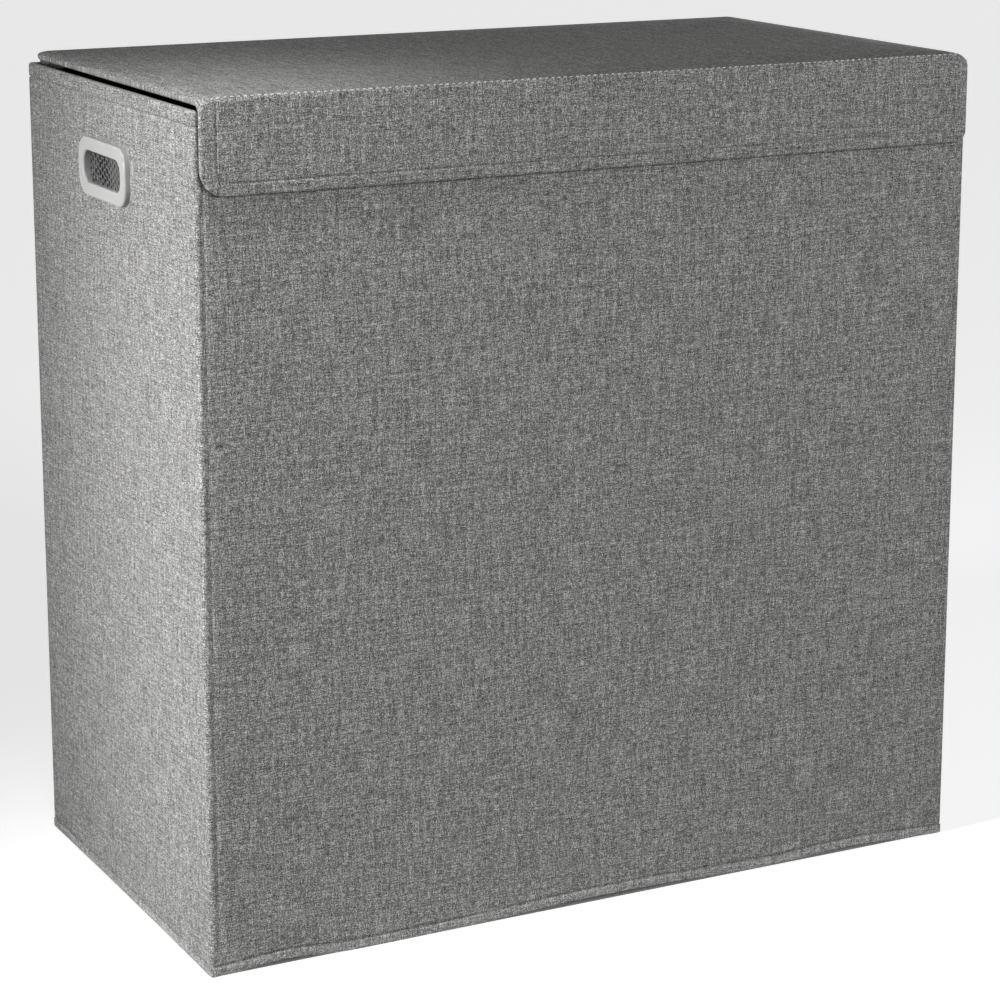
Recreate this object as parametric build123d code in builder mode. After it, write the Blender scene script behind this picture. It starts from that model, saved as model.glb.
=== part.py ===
from build123d import *
import os

# Laundry hamper with a hinged lid, holding two mesh bags. Millimetres, +Z up. The origin is on
# the floor under the middle of the box, and the front, where the lid's flap hangs, faces -Y.

# --- Box: four walls of cloth over board ---
body_w = 620.0  # outside width along the front
body_d = 337.0  # outside depth, front to back
body_h = 610.0  # floor to the rolled top edge of the walls
cover_t = 1.0  # outer cloth
wall_board_t = 2.5  # board inside a wall
lining_t = 0.8  # inner cloth
turn_down = 22.0  # outer cloth rolled over the top edge and sewn down inside
hem_h = 7.0  # folded band along the foot of a wall
hem_proud = 0.6  # how far that band stands out from the cloth
long_arch = 4.0  # how far the foot of the front and back lifts in the middle
short_arch = 1.0  # the same for the two sides
board_gap = 1.0  # between the folded band and the boards above it
floor_t = 1.0  # cloth that closes the bottom of the box

# --- Handles: a plastic frame set through each side ---
handle_drop = 61.0  # from the walls' top edge down to its middle
handle_w = 95.0
handle_h = 42.5
handle_r = 14.5  # corner radius
handle_proud = 5.0  # how far it stands out from the side
handle_edge_r = 1.6  # rounding of its outer edge
grip_w = 76.0  # opening for the fingers
grip_h = 23.0
grip_r = 10.0
grip_edge_r = 1.6
sleeve_t = 1.5  # wall of the sleeve that passes through the side
sleeve_gap = 0.5  # round that sleeve, in the side's three layers
ring_t = 3.0  # ring that locks the frame from inside
ring_inset = 1.5  # the ring is this much smaller than the frame, all round
ring_gap = 0.2  # between the ring and the sleeve

# --- Lid: stiff panel, with a flap that hangs in front ---
lid_side_inset = 2.0  # the lid is this much inside the box, at each side
lid_gap = 3.0  # between the walls' top edge and the lid
lid_lining_t = 0.6
lid_board_t = 3.0
lid_pad_t = 1.9
lid_corner_r = 8.0
lid_back_margin = 12.0  # the stiff lid stops this far in front of the back face
fit_gap = 0.2  # between a stiffener and the cloth round it
flap_drop = 67.0  # from the lid's top face to the flap's lower edge
flap_gap = 2.0  # between the flap and the front wall
flap_board_t = 2.2
flap_lining_t = 0.8
flap_corner_r = 19.0
crease_r = 2.0  # rolled cloth that the flap turns about
crease_gap = 0.3  # between that roll and the flap
crease_room = 3.3  # from the crease's axis to the stiff lid

# --- Magnets in the flap, with steel discs in the front wall ---
magnet_inset = 103.0  # from the end of the lid to the magnet's middle
magnet_drop = 48.5  # from the lid's top face
magnet_r = 8.0
magnet_t = 1.6
keeper_t = 1.0
pocket_gap = 0.2  # round a disc in its pocket

# --- Cloth hinge along the back ---
hinge_tape_t = 1.8
hinge_tape_h = 46.0
hinge_rise = 1.5  # the axis is this far above the walls' top edge
hinge_roll_r = 1.2
hinge_end_gap = 4.5  # the lid's strip stops this far short of the axis, to pass the tape

# --- Stiff base that folds up against the back ---
base_lift = 0.2  # above the floor cloth
base_board_t = 3.0
base_side_gap = 1.5  # to the lining of the walls
base_tape_t = 0.8  # cloth hinge along its back edge
base_tape_h = 30.0
base_axis_rise = 0.8  # hinge axis above the base's top face
base_end_gap = 1.2  # from that axis to the base's back edge
pull_w = 25.0
pull_l = 70.0
pull_t = 1.5
pull_setback = 12.0  # from the base's front edge

# --- Mesh bags ---
bag_side_inset = 10.0  # from the outer face of a side to the bag
bag_middle_gap = 6.0  # between the two bags
bag_corner_r = 25.0
bag_bottom_r = 14.0
bag_lift = 1.0  # above the pull tape
bag_drop = 4.0  # from the walls' top edge down to the bag's rim
mesh_t = 1.0
collar_h = 30.0  # cloth band round the mouth
collar_t = 1.4
bead = 6.0  # width and height of the rim that holds the wire
bead_edge_r = 2.0
wire_r = 1.75
wire_gap = 0.2
tape_t = 0.9  # hook tape on the wall, and loop tape on the bag
tape_gap = 0.2
tape_w = 60.0
tape_h = 16.0
strap_w = 22.0  # webbing of the bags' carry straps
strap_t = 1.5
strap_span = 78.0  # between the middles of a strap's two ends
strap_drop = 105.0  # from the bead down to the middle of the strap's bend

# --- Sizes that follow from those above ---
wall_t = cover_t + wall_board_t + lining_t
rim_t = wall_t + cover_t  # wall with the turned-down cloth
board_foot = hem_h + long_arch + board_gap
handle_z = body_h - handle_drop
lid_w = body_w - 2 * lid_side_inset
lid_z = body_h + lid_gap
lid_top = lid_z + lid_lining_t + lid_board_t + lid_pad_t + cover_t
flap_t = cover_t + flap_board_t + flap_lining_t
crease_y = -body_d / 2 - flap_gap - flap_t / 2
crease_z = lid_top - crease_r
magnet_x = lid_w / 2 - magnet_inset
magnet_z = lid_top - magnet_drop
lid_front = crease_y + crease_room
lid_back = body_d / 2 - lid_back_margin
flap_top = crease_z - crease_r - crease_gap
flap_foot = lid_top - flap_drop
hinge_y = body_d / 2 + hinge_tape_t
hinge_z = body_h + hinge_rise
base_z = floor_t + base_lift
base_top = base_z + base_board_t + cover_t
base_axis_y = body_d / 2 - wall_t - base_tape_t
base_axis_z = base_top + base_axis_rise
base_half_w = body_w / 2 - wall_t - base_side_gap
base_front = -body_d / 2 + wall_t + base_side_gap
base_back = base_axis_y - base_end_gap
bag_w = body_w / 2 - bag_side_inset - bag_middle_gap / 2
bag_d = body_d - 2 * (rim_t + 2 * tape_t + tape_gap)
bag_x = (bag_w + bag_middle_gap) / 2
bag_foot = base_top + pull_t + bag_lift
bag_top = body_h - bag_drop
collar_foot = bag_top - collar_h
bead_foot = bag_top - bead
tape_z = body_h - turn_down / 2 - cover_t

os.makedirs("parts", exist_ok=True)


def save(part, name):
    """Label a finished piece and write it to its own file."""
    part.label = name
    export_step(part, f"parts/{name}.step")


def mitre(length, reach, outer, inner):
    """Corners of a wall layer seen from above, between two depths, mitred at both ends."""
    half = length / 2
    return [
        (-half + outer, -reach + outer),
        (half - outer, -reach + outer),
        (half - inner, -reach + inner),
        (-half + inner, -reach + inner),
    ]


def grip_outline(grow):
    """Draw the handle's opening in the current sketch, larger by a margin all round."""
    with Locations((0, handle_z)):
        RectangleRounded(grip_w + 2 * grow, grip_h + 2 * grow, grip_r + grow)


# =====================================================================================
# Walls. Each is drawn on its own outer face, with X along the wall and Z pointing out.
# =====================================================================================
# name: length, distance of its face from the middle, arch of its foot, in order round the box
walls = {
    "front": (body_w, body_d / 2, long_arch),
    "right": (body_d, body_w / 2, short_arch),
    "back": (body_w, body_d / 2, long_arch),
    "left": (body_d, body_w / 2, short_arch),
}
sides = ("left", "right")

for quarter, (name, (length, reach, arch)) in enumerate(walls.items()):
    turn = 90 * quarter  # degrees about Z, from the front
    outward = Vector(0, -1, 0).rotate(Axis.Z, turn)
    along = Vector(1, 0, 0).rotate(Axis.Z, turn)
    face = Plane(origin=outward * reach, x_dir=along, z_dir=outward)
    plan = Plane(origin=(0, 0, 0), x_dir=along, z_dir=(0, 0, 1))
    hem_half = length / 2 + hem_proud

    # Outer cloth: arched foot, rolled over the top edge and turned down inside
    with BuildPart() as cover:
        with BuildSketch(face):
            with BuildLine():
                foot = ThreePointArc((-hem_half, hem_h), (0, hem_h + arch), (hem_half, hem_h))
                Polyline(foot @ 1, (hem_half, body_h), (-hem_half, body_h), foot @ 0)
            make_face()
        extrude(amount=-cover_t)
        with BuildSketch(plan):
            Polygon(*mitre(length, reach, 0, cover_t), align=None)
        extrude(amount=body_h, mode=Mode.INTERSECT)
        for outer, low in ((0, body_h - cover_t), (wall_t, body_h - turn_down)):
            with BuildSketch(plan.offset(low)):
                Polygon(*mitre(length, reach, outer, rim_t), align=None)
            extrude(amount=body_h - low)
        if name in sides:
            with BuildSketch(face):
                grip_outline(sleeve_t + sleeve_gap)
            extrude(amount=-cover_t, mode=Mode.SUBTRACT)
    save(cover.part, f"{name}_cover")

    # Board, with pockets for the steel discs in the front wall
    with BuildPart() as board:
        with BuildSketch(plan.offset(board_foot)):
            Polygon(*mitre(length, reach, cover_t, cover_t + wall_board_t), align=None)
        extrude(amount=body_h - cover_t - board_foot)
        if name in sides:
            with BuildSketch(face):
                grip_outline(sleeve_t + sleeve_gap)
            extrude(amount=-wall_t, mode=Mode.SUBTRACT)
        if name == "front":
            with BuildSketch(face.offset(-cover_t)):
                with Locations((-magnet_x, magnet_z), (magnet_x, magnet_z)):
                    Circle(magnet_r + pocket_gap)
            extrude(amount=-keeper_t - pocket_gap, mode=Mode.SUBTRACT)
    save(board.part, f"{name}_board")

    # Inner cloth
    with BuildPart() as lining:
        with BuildSketch(plan.offset(board_foot)):
            Polygon(*mitre(length, reach, cover_t + wall_board_t, wall_t), align=None)
        extrude(amount=body_h - cover_t - board_foot)
        if name in sides:
            with BuildSketch(face):
                grip_outline(sleeve_t + sleeve_gap)
            extrude(amount=-wall_t, mode=Mode.SUBTRACT)
    save(lining.part, f"{name}_lining")

    # Folded band that the wall stands on
    with BuildPart() as hem:
        with BuildSketch(face.offset(hem_proud)):
            with BuildLine():
                low = ThreePointArc((-hem_half, 0), (0, arch), (hem_half, 0))
                high = ThreePointArc((-hem_half, hem_h), (0, hem_h + arch), (hem_half, hem_h))
                Line(low @ 0, high @ 0)
                Line(low @ 1, high @ 1)
            make_face()
        extrude(amount=-hem_proud - cover_t)
        with BuildSketch(plan):
            Polygon(*mitre(length, reach, -hem_proud, cover_t), align=None)
        extrude(amount=body_h, mode=Mode.INTERSECT)
    save(hem.part, f"{name}_hem")

    if name not in sides:
        continue

    # Handle frame, with the sleeve that passes through the side and its locking ring
    with BuildPart() as handle:
        with BuildSketch(face):
            with Locations((0, handle_z)):
                RectangleRounded(handle_w, handle_h, handle_r)
        extrude(amount=handle_proud)
        fillet(handle.edges().group_by(Axis((0, 0, 0), outward))[-1], handle_edge_r)
        with BuildSketch(face):
            grip_outline(sleeve_t)
        extrude(amount=-wall_t - ring_t)
        with BuildSketch(face.offset(handle_proud)):
            grip_outline(0)
        extrude(amount=-handle_proud - wall_t - ring_t, mode=Mode.SUBTRACT)
        mouth = handle.faces().sort_by(Axis((0, 0, 0), outward))[-1].inner_wires()[0]
        fillet(mouth.edges(), grip_edge_r)
    save(handle.part, f"{name}_handle")

    with BuildPart() as ring:
        with BuildSketch(face.offset(-wall_t)):
            with Locations((0, handle_z)):
                RectangleRounded(
                    handle_w - 2 * ring_inset, handle_h - 2 * ring_inset, handle_r - ring_inset
                )
            with BuildSketch(mode=Mode.SUBTRACT):
                grip_outline(sleeve_t + ring_gap)
        extrude(amount=-ring_t)
    save(ring.part, f"{name}_handle_ring")

with BuildPart() as floor_cloth:
    with BuildSketch():
        Rectangle(body_w - 2 * cover_t, body_d - 2 * cover_t)
    extrude(amount=floor_t)
save(floor_cloth.part, "floor_cloth")

# Steel discs behind the front wall's cloth, and magnets inside the flap
flap_face = Plane.XZ.offset(body_d / 2 + flap_gap + flap_t)
for name, side in (("left", -1), ("right", 1)):
    with BuildPart() as keeper:
        with BuildSketch(Plane.XZ.offset(body_d / 2 - cover_t)):
            with Locations((side * magnet_x, magnet_z)):
                Circle(magnet_r)
        extrude(amount=-keeper_t)
    save(keeper.part, f"{name}_keeper")

    with BuildPart() as magnet:
        with BuildSketch(flap_face.offset(flap_lining_t - flap_t)):
            with Locations((side * magnet_x, magnet_z)):
                Circle(magnet_r)
        extrude(amount=magnet_t)
    save(magnet.part, f"{name}_magnet")

# Cloth hinge along the back wall: a tape, ending in the roll that the lid turns about
with BuildPart() as hinge_tape:
    with BuildSketch(Plane.YZ):
        with Locations((body_d / 2 + hinge_tape_t / 2, body_h)):
            Rectangle(hinge_tape_t, hinge_tape_h, align=(Align.CENTER, Align.MAX))
        with Locations((hinge_y - hinge_roll_r, body_h)):
            Rectangle(hinge_roll_r, hinge_rise, align=(Align.MIN, Align.MIN))
        with Locations((hinge_y, hinge_z)):
            Circle(hinge_roll_r)
    extrude(amount=lid_w / 2 - lid_corner_r, both=True)
save(hinge_tape.part, "hinge_tape")

# =====================================================================================
# Base: a board with cloth over its top and edges, hinged on a tape along the back
# =====================================================================================
base_d = base_back - base_front
base_middle = (base_back + base_front) / 2

with BuildPart() as base_cover:
    with BuildSketch(Plane.XY.offset(base_z)):
        with Locations((0, base_middle)):
            Rectangle(2 * base_half_w, base_d)
    extrude(amount=base_board_t + cover_t)
    with BuildSketch(Plane.XY.offset(base_z)):
        with Locations((0, base_middle)):
            Rectangle(2 * (base_half_w - cover_t), base_d - 2 * cover_t)
    extrude(amount=base_board_t, mode=Mode.SUBTRACT)
save(base_cover.part, "base_cover")

with BuildPart() as base_board:
    with BuildSketch(Plane.XY.offset(base_z)):
        with Locations((0, base_middle)):
            Rectangle(2 * (base_half_w - cover_t - fit_gap), base_d - 2 * (cover_t + fit_gap))
    extrude(amount=base_board_t)
save(base_board.part, "base_board")

with BuildPart() as base_pull:
    with BuildSketch(Plane.XY.offset(base_top)):
        with Locations((0, base_front + pull_setback + pull_l / 2)):
            RectangleRounded(pull_w, pull_l, pull_w / 4)
    extrude(amount=pull_t)
save(base_pull.part, "base_pull")

with BuildPart() as base_tape:
    with BuildSketch(Plane.YZ):
        with Locations((base_axis_y, base_axis_z)):
            Rectangle(base_tape_t, base_tape_h, align=(Align.MIN, Align.MIN))
            Circle(base_tape_t)
    extrude(amount=base_half_w, both=True)
save(base_tape.part, "base_tape")

# =====================================================================================
# Mesh bags: mesh body, cloth collar with a wire in its rim, carry straps, loop tapes
# =====================================================================================
for name, side in (("left", -1), ("right", 1)):
    middle = side * bag_x

    with BuildPart() as bag:
        with BuildSketch(Plane.XY.offset(bag_foot)):
            with Locations((middle, 0)):
                RectangleRounded(bag_w, bag_d, bag_corner_r)
        extrude(amount=collar_foot - bag_foot)
        fillet(bag.edges().group_by(Axis.Z)[0], bag_bottom_r)
        offset(amount=-mesh_t, openings=bag.faces().sort_by(Axis.Z)[-1])
    save(bag.part, f"{name}_bag")

    # Closed loop that the rim's wire follows, round the middle of the bead
    half_w = (bag_w - bead) / 2
    half_d = (bag_d - bead) / 2
    with BuildLine(Plane.XY.offset(bag_top - bead / 2)) as loop:
        FilletPolyline(
            (middle - half_w, -half_d),
            (middle + half_w, -half_d),
            (middle + half_w, half_d),
            (middle - half_w, half_d),
            radius=bag_corner_r - bead / 2,
            close=True,
        )
    section = Plane(origin=loop.line @ 0, z_dir=loop.line % 0)

    with BuildPart() as collar:
        with BuildSketch(Plane.XY.offset(collar_foot)):
            with Locations((middle, 0)):
                RectangleRounded(bag_w, bag_d, bag_corner_r)
        extrude(amount=collar_h)
        fillet(collar.edges().group_by(Axis.Z)[-1], bead_edge_r)
        for width, low, high in (
            (bead, bead_foot, bag_top),
            (collar_t, collar_foot, bead_foot),
        ):
            with BuildSketch(Plane.XY.offset(low)):
                with Locations((middle, 0)):
                    RectangleRounded(bag_w - 2 * width, bag_d - 2 * width, bag_corner_r - width)
            extrude(amount=high - low, mode=Mode.SUBTRACT)
        with BuildSketch(section):
            Circle(wire_r + wire_gap)
        sweep(path=loop.line, mode=Mode.SUBTRACT)
    save(collar.part, f"{name}_collar")

    with BuildPart() as wire:
        with BuildSketch(section):
            Circle(wire_r)
        sweep(path=loop.line)
    save(wire.part, f"{name}_wire")

    for end, facing in (("front", -1), ("back", 1)):
        # Hook tape on the turned-down cloth of the wall, and loop tape on the collar
        tapes = {
            "hook_tape": body_d / 2 - rim_t - tape_t,
            "loop_tape": bag_d / 2,
        }
        for kind, depth in tapes.items():
            with BuildPart() as tape:
                with BuildSketch(Plane.XZ.offset(-facing * depth)):
                    with Locations((middle, tape_z)):
                        Rectangle(tape_w, tape_h)
                extrude(amount=-facing * tape_t)
            save(tape.part, f"{name}_{end}_{kind}")

        # Carry strap: a loop of webbing that hangs inside the collar when it isn't in use
        with BuildPart() as strap:
            with BuildSketch(Plane.XZ.offset(-facing * (bag_d / 2 - collar_t))):
                for width, mode in ((strap_w, Mode.ADD), (-strap_w, Mode.SUBTRACT)):
                    with Locations((middle, bead_foot)):
                        Rectangle(
                            strap_span + width,
                            strap_drop,
                            align=(Align.CENTER, Align.MAX),
                            mode=mode,
                        )
                    with Locations((middle, bead_foot - strap_drop)):
                        Circle((strap_span + width) / 2, mode=mode)
            extrude(amount=facing * strap_t)
        save(strap.part, f"{name}_{end}_strap")

# =====================================================================================
# Lid: cloth cap over a thin pad and a board, closed by a lining that runs on to the hinge
# =====================================================================================
lid_d = lid_back - lid_front
lid_middle = (lid_back + lid_front) / 2
cavity_h = lid_top - cover_t - lid_z

with BuildPart() as lid_cover:
    with BuildSketch(Plane.XY.offset(lid_z)):
        with Locations((0, lid_middle)):
            RectangleRounded(lid_w, lid_d, lid_corner_r)
    extrude(amount=lid_top - lid_z)
    with BuildSketch(Plane.XY.offset(lid_z)):
        with Locations((0, lid_middle)):
            RectangleRounded(lid_w - 2 * cover_t, lid_d - 2 * cover_t, lid_corner_r - cover_t)
    extrude(amount=cavity_h, mode=Mode.SUBTRACT)
    with BuildSketch(Plane.YZ):
        with Locations((crease_y, crease_z)):
            Circle(crease_r)
        with Locations((crease_y, lid_top)):
            Rectangle(crease_room + cover_t, cover_t, align=(Align.MIN, Align.MAX))
    extrude(amount=lid_w / 2 - lid_corner_r, both=True)
save(lid_cover.part, "lid_cover")

with BuildPart() as lid_lining:
    with BuildSketch(Plane.XY.offset(lid_z)):
        with Locations((0, lid_middle)):
            RectangleRounded(
                lid_w - 2 * (cover_t + fit_gap),
                lid_d - 2 * (cover_t + fit_gap),
                lid_corner_r - cover_t - fit_gap,
            )
    extrude(amount=lid_lining_t)
save(lid_lining.part, "lid_lining")

# Cloth strip that joins the lid to the roll on the hinge tape
with BuildPart() as lid_hinge_strip:
    with BuildSketch(Plane.XY.offset(lid_z)):
        with Locations((0, lid_back)):
            Rectangle(
                lid_w - 2 * lid_corner_r,
                hinge_y - hinge_end_gap - lid_back,
                align=(Align.CENTER, Align.MIN),
            )
    extrude(amount=lid_lining_t)
save(lid_hinge_strip.part, "lid_hinge_strip")

lid_layers = {
    "lid_board": (lid_z + lid_lining_t, lid_board_t),
    "lid_pad": (lid_z + lid_lining_t + lid_board_t, lid_pad_t),
}
for name, (low, thickness) in lid_layers.items():
    with BuildPart() as layer:
        with BuildSketch(Plane.XY.offset(low)):
            with Locations((0, lid_middle)):
                RectangleRounded(
                    lid_w - 2 * (cover_t + fit_gap),
                    lid_d - 2 * (cover_t + fit_gap),
                    lid_corner_r - cover_t - fit_gap,
                )
        extrude(amount=thickness)
    save(layer.part, name)

# =====================================================================================
# Flap: cloth tray with a board in it, closed by a lining on the side that meets the box
# =====================================================================================
flap_h = flap_top - flap_foot
flap_middle = (flap_top + flap_foot) / 2


def flap_outline(inset, mode=Mode.ADD):
    """Draw the flap in the current sketch, drawn in by a margin, its lower corners round."""
    width = lid_w - 2 * inset
    height = flap_h - 2 * inset
    with Locations((0, flap_middle)):
        RectangleRounded(width, height, flap_corner_r - inset, mode=mode)
    with Locations((0, flap_top - inset)):
        Rectangle(width, height / 2, align=(Align.CENTER, Align.MAX), mode=mode)


with BuildPart() as flap_cover:
    with BuildSketch(flap_face):
        flap_outline(0)
    extrude(amount=flap_lining_t - flap_t)
    with BuildSketch(flap_face.offset(-cover_t)):
        flap_outline(cover_t)
    extrude(amount=-flap_board_t, mode=Mode.SUBTRACT)
save(flap_cover.part, "flap_cover")

with BuildPart() as flap_board:
    with BuildSketch(flap_face.offset(-cover_t)):
        flap_outline(cover_t + fit_gap)
    extrude(amount=-flap_board_t)
    with BuildSketch(flap_face.offset(flap_lining_t - flap_t)):
        with Locations((-magnet_x, magnet_z), (magnet_x, magnet_z)):
            Circle(magnet_r + pocket_gap)
    extrude(amount=magnet_t + pocket_gap, mode=Mode.SUBTRACT)
save(flap_board.part, "flap_board")

with BuildPart() as flap_lining:
    with BuildSketch(flap_face.offset(flap_lining_t - flap_t)):
        flap_outline(0)
    extrude(amount=-flap_lining_t)
save(flap_lining.part, "flap_lining")
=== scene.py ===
"""Looks of a laundry hamper with a lid: a grey cloth box on boards, net bags, a flap and a fold-up base.

Every place comes from the CAD frame, in metres, with +Z up and the front towards -Y.
"""

import logging
import math
from collections.abc import Callable, Sequence
from dataclasses import dataclass
from enum import Enum
from functools import reduce

import bmesh
import bpy
import numpy as np
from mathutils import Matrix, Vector, noise


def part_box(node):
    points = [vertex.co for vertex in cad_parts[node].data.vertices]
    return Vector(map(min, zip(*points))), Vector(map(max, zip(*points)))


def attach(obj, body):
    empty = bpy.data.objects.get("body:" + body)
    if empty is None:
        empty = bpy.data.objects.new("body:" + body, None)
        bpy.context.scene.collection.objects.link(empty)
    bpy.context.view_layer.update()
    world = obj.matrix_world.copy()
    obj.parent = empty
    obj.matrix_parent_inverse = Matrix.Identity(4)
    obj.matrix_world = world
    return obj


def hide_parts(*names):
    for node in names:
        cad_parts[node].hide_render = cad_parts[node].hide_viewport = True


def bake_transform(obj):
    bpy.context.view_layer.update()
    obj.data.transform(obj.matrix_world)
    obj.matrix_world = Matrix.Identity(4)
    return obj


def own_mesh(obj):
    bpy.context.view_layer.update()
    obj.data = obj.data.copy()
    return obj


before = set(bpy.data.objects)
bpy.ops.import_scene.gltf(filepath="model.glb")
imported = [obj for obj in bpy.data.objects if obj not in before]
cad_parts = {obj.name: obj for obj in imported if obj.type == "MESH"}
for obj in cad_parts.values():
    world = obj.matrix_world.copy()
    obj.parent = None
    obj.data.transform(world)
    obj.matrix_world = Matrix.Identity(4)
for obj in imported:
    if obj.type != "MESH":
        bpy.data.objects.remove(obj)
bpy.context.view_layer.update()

MM = 0.001
CLOTH_MAP = "cloth"  # the UV map that holds each cloth's own metres, across and along
log = logging.getLogger("hamper")

Array = np.ndarray
Piece = bpy.types.Object
Material = bpy.types.Material
Node = bpy.types.Node
Tree = bpy.types.NodeTree
Feed = Node | bpy.types.NodeSocket
Colour = tuple[float, float, float, float]
Walked = dict[str, Array]  # an outline walked once, as Walk.round() gives it
Shape = Callable[[Walked, float, float], tuple[Array, Array]]


class Side(Enum):
    """A side of the box, with the direction that it faces."""

    LEFT = (-1, 0)
    FRONT = (0, -1)
    RIGHT = (1, 0)
    BACK = (0, 1)


# ---------------------------------------------------------------- shader helpers


def srgb(code: str) -> Colour:
    """Turn an sRGB hex colour into linear light.

    Args:
        code: six hex digits, with or without the leading hash.

    Returns:
        Red, green, blue and an alpha of 1.
    """
    parts = [int(code.lstrip("#")[i : i + 2], 16) / 255 for i in (0, 2, 4)]
    light = [c / 12.92 if c <= 0.04045 else ((c + 0.055) / 1.055) ** 2.4 for c in parts]
    return (*light, 1.0)


def add_node(
    tree: Tree, kind: str, feeds: dict | None = None, stops: dict[float, str] | None = None, **settings
) -> Node:
    """Add one node with its settings, values and links.

    Args:
        tree: the node tree that takes it.
        kind: Blender's name for the node type, after "ShaderNode".
        feeds: input name or number, and the value, output socket or node that feeds it.
        stops: places and hex colours along the node's ramp, if it has one.
        **settings: properties of the node itself.

    Returns:
        The new node.
    """
    made = tree.nodes.new(f"ShaderNode{kind}")
    for name, value in settings.items():
        setattr(made, name, value)
    for key, value in (feeds or {}).items():
        source = value.outputs[0] if isinstance(value, Node) else value
        if isinstance(source, bpy.types.NodeSocket):
            tree.links.new(source, made.inputs[key])
        else:
            made.inputs[key].default_value = source
    for number, (place, colour) in enumerate((stops or {}).items()):
        elements = made.color_ramp.elements
        element = elements[number] if number < len(elements) else elements.new(place)
        element.position = place
        element.color = srgb(colour)
    return made


def new_material(name: str) -> tuple[Material, Tree]:
    """Start a material with an empty node tree.

    Args:
        name: the material's name.

    Returns:
        The material and its tree.
    """
    material = bpy.data.materials.new(name)
    material.use_nodes = True
    material.node_tree.nodes.clear()
    return material, material.node_tree


def close_material(
    tree: Tree, constants: dict, colour: Feed, height: Feed | None = None, relief: float = 0.0
) -> Node:
    """Add the shader and the output, with the relief of the surface.

    Args:
        tree: the material's node tree.
        constants: the shader's other values and feeds, by socket name.
        colour: the node that gives the colour.
        height: the node that gives the relief, from 0 to about 1.
        relief: the relief's depth, in metres.

    Returns:
        The shader.
    """
    shader = add_node(tree, "BsdfPrincipled", {"Base Color": colour, **constants})
    if height:
        bump = add_node(tree, "Bump", {"Height": height, "Strength": 0.5, "Distance": relief})
        tree.links.new(bump.outputs[0], shader.inputs["Normal"])
    add_node(tree, "OutputMaterial", {"Surface": shader})
    return shader


def streaks(tree: Tree, place: Feed, across: float, along: float, detail: float = 2.0) -> Node:
    """Add noise that is drawn out one way, such as the yarns of a cloth.

    Args:
        tree: the node tree.
        place: coordinates in metres.
        across: size of its features along the first coordinate, in metres.
        along: their size along the second, in metres.
        detail: octaves of finer noise.

    Returns:
        The noise.
    """
    scale = (1 / across, 1 / along, 1 / min(across, along))
    scaled = add_node(tree, "Mapping", {"Vector": place, "Scale": scale})
    feeds = {"Vector": scaled, "Scale": 1.0, "Detail": detail, "Roughness": 0.6}
    return add_node(tree, "TexNoise", feeds)


def ripple(tree: Tree, place: Feed, direction: tuple[float, float, float], pitch: float) -> Node:
    """Add a cosine wave across a surface.

    Args:
        tree: the node tree.
        place: coordinates in metres.
        direction: unit vector across the waves.
        pitch: distance from crest to crest, in metres.

    Returns:
        The wave, from -1 to 1.
    """
    turn = tuple(c * math.tau / pitch for c in direction)
    phase = add_node(tree, "VectorMath", {0: place, 1: turn}, operation="DOT_PRODUCT")
    return add_node(tree, "Math", {0: phase.outputs["Value"]}, operation="COSINE")


# ---------------------------------------------------------------- finishes


@dataclass(frozen=True)
class MelangeLinen:
    """Polyester woven to look like linen, from slubbed dark and pale yarns: salt and pepper on mid grey."""

    name: str = "melange_linen"
    dark: str = "#282828"
    middle: str = "#6e6e6d"
    pale: str = "#bdbdbb"
    warm: str = "#7b6d6b"
    green: str = "#6b7069"
    yarn: float = 1.1 * MM  # yarns are 0.5 mm apart; drawn this coarse so that they show from two metres
    slub: float = 5.0 * MM
    run: float = 32.0 * MM  # length of the bands where several neighbouring yarns are darker or paler
    band: float = 3.0 * MM
    spread: float = 0.112  # how far the noise strays from its middle before a yarn is fully dark or pale

    def material(self) -> Material:
        """Build the material, patterned by its own UV metres.

        Returns:
            The cloth's material.
        """
        material, tree = new_material(self.name)
        place = add_node(tree, "UVMap", uv_map=CLOTH_MAP)
        warp = streaks(tree, place, self.yarn, self.slub)
        weft = streaks(tree, place, self.slub, self.yarn)
        speck = streaks(tree, place, self.yarn * 0.8, self.yarn * 0.8, 1.0)
        cross = add_node(tree, "Mix", {0: 0.5, 2: warp, 3: weft})
        fine = add_node(tree, "Mix", {0: 0.5, 2: cross, 3: speck})
        upright = streaks(tree, place, self.band, self.run)
        level = streaks(tree, place, self.run, self.band)
        bands = add_node(tree, "Mix", {0: 0.45, 2: upright, 3: level})
        grain = add_node(tree, "Mix", {0: 0.2, 2: fine, 3: bands})
        tones = {0.5 - self.spread: self.dark, 0.5: self.middle, 0.5 + self.spread: self.pale}
        tone = add_node(tree, "ValToRGB", {0: grain}, stops=tones)
        hues = {0.34: self.warm, 0.43: self.middle, 0.57: self.middle, 0.66: self.green}
        hue = add_node(tree, "ValToRGB", {0: streaks(tree, place, 5 * MM, 2.2 * MM, 1.0)}, stops=hues)
        tinted = add_node(tree, "Mix", {0: 0.18, 6: tone, 7: hue}, data_type="RGBA", blend_type="COLOR")
        over = ripple(tree, place, (1, 0, 0), 2 * self.yarn)
        under = ripple(tree, place, (0, 1, 0), 2 * self.yarn)
        weave = add_node(tree, "Math", {0: over, 1: under}, operation="MULTIPLY")
        height = add_node(tree, "Mix", {0: 0.9, 2: weave, 3: grain})
        rough = add_node(tree, "Math", {0: speck, 1: 0.2, 2: 0.8}, operation="MULTIPLY_ADD")
        constants = {"Roughness": rough, "IOR": 1.5, "Specular IOR Level": 0.05}
        close_material(tree, constants, tinted.outputs[2], height, 0.25 * MM)
        return material


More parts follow.
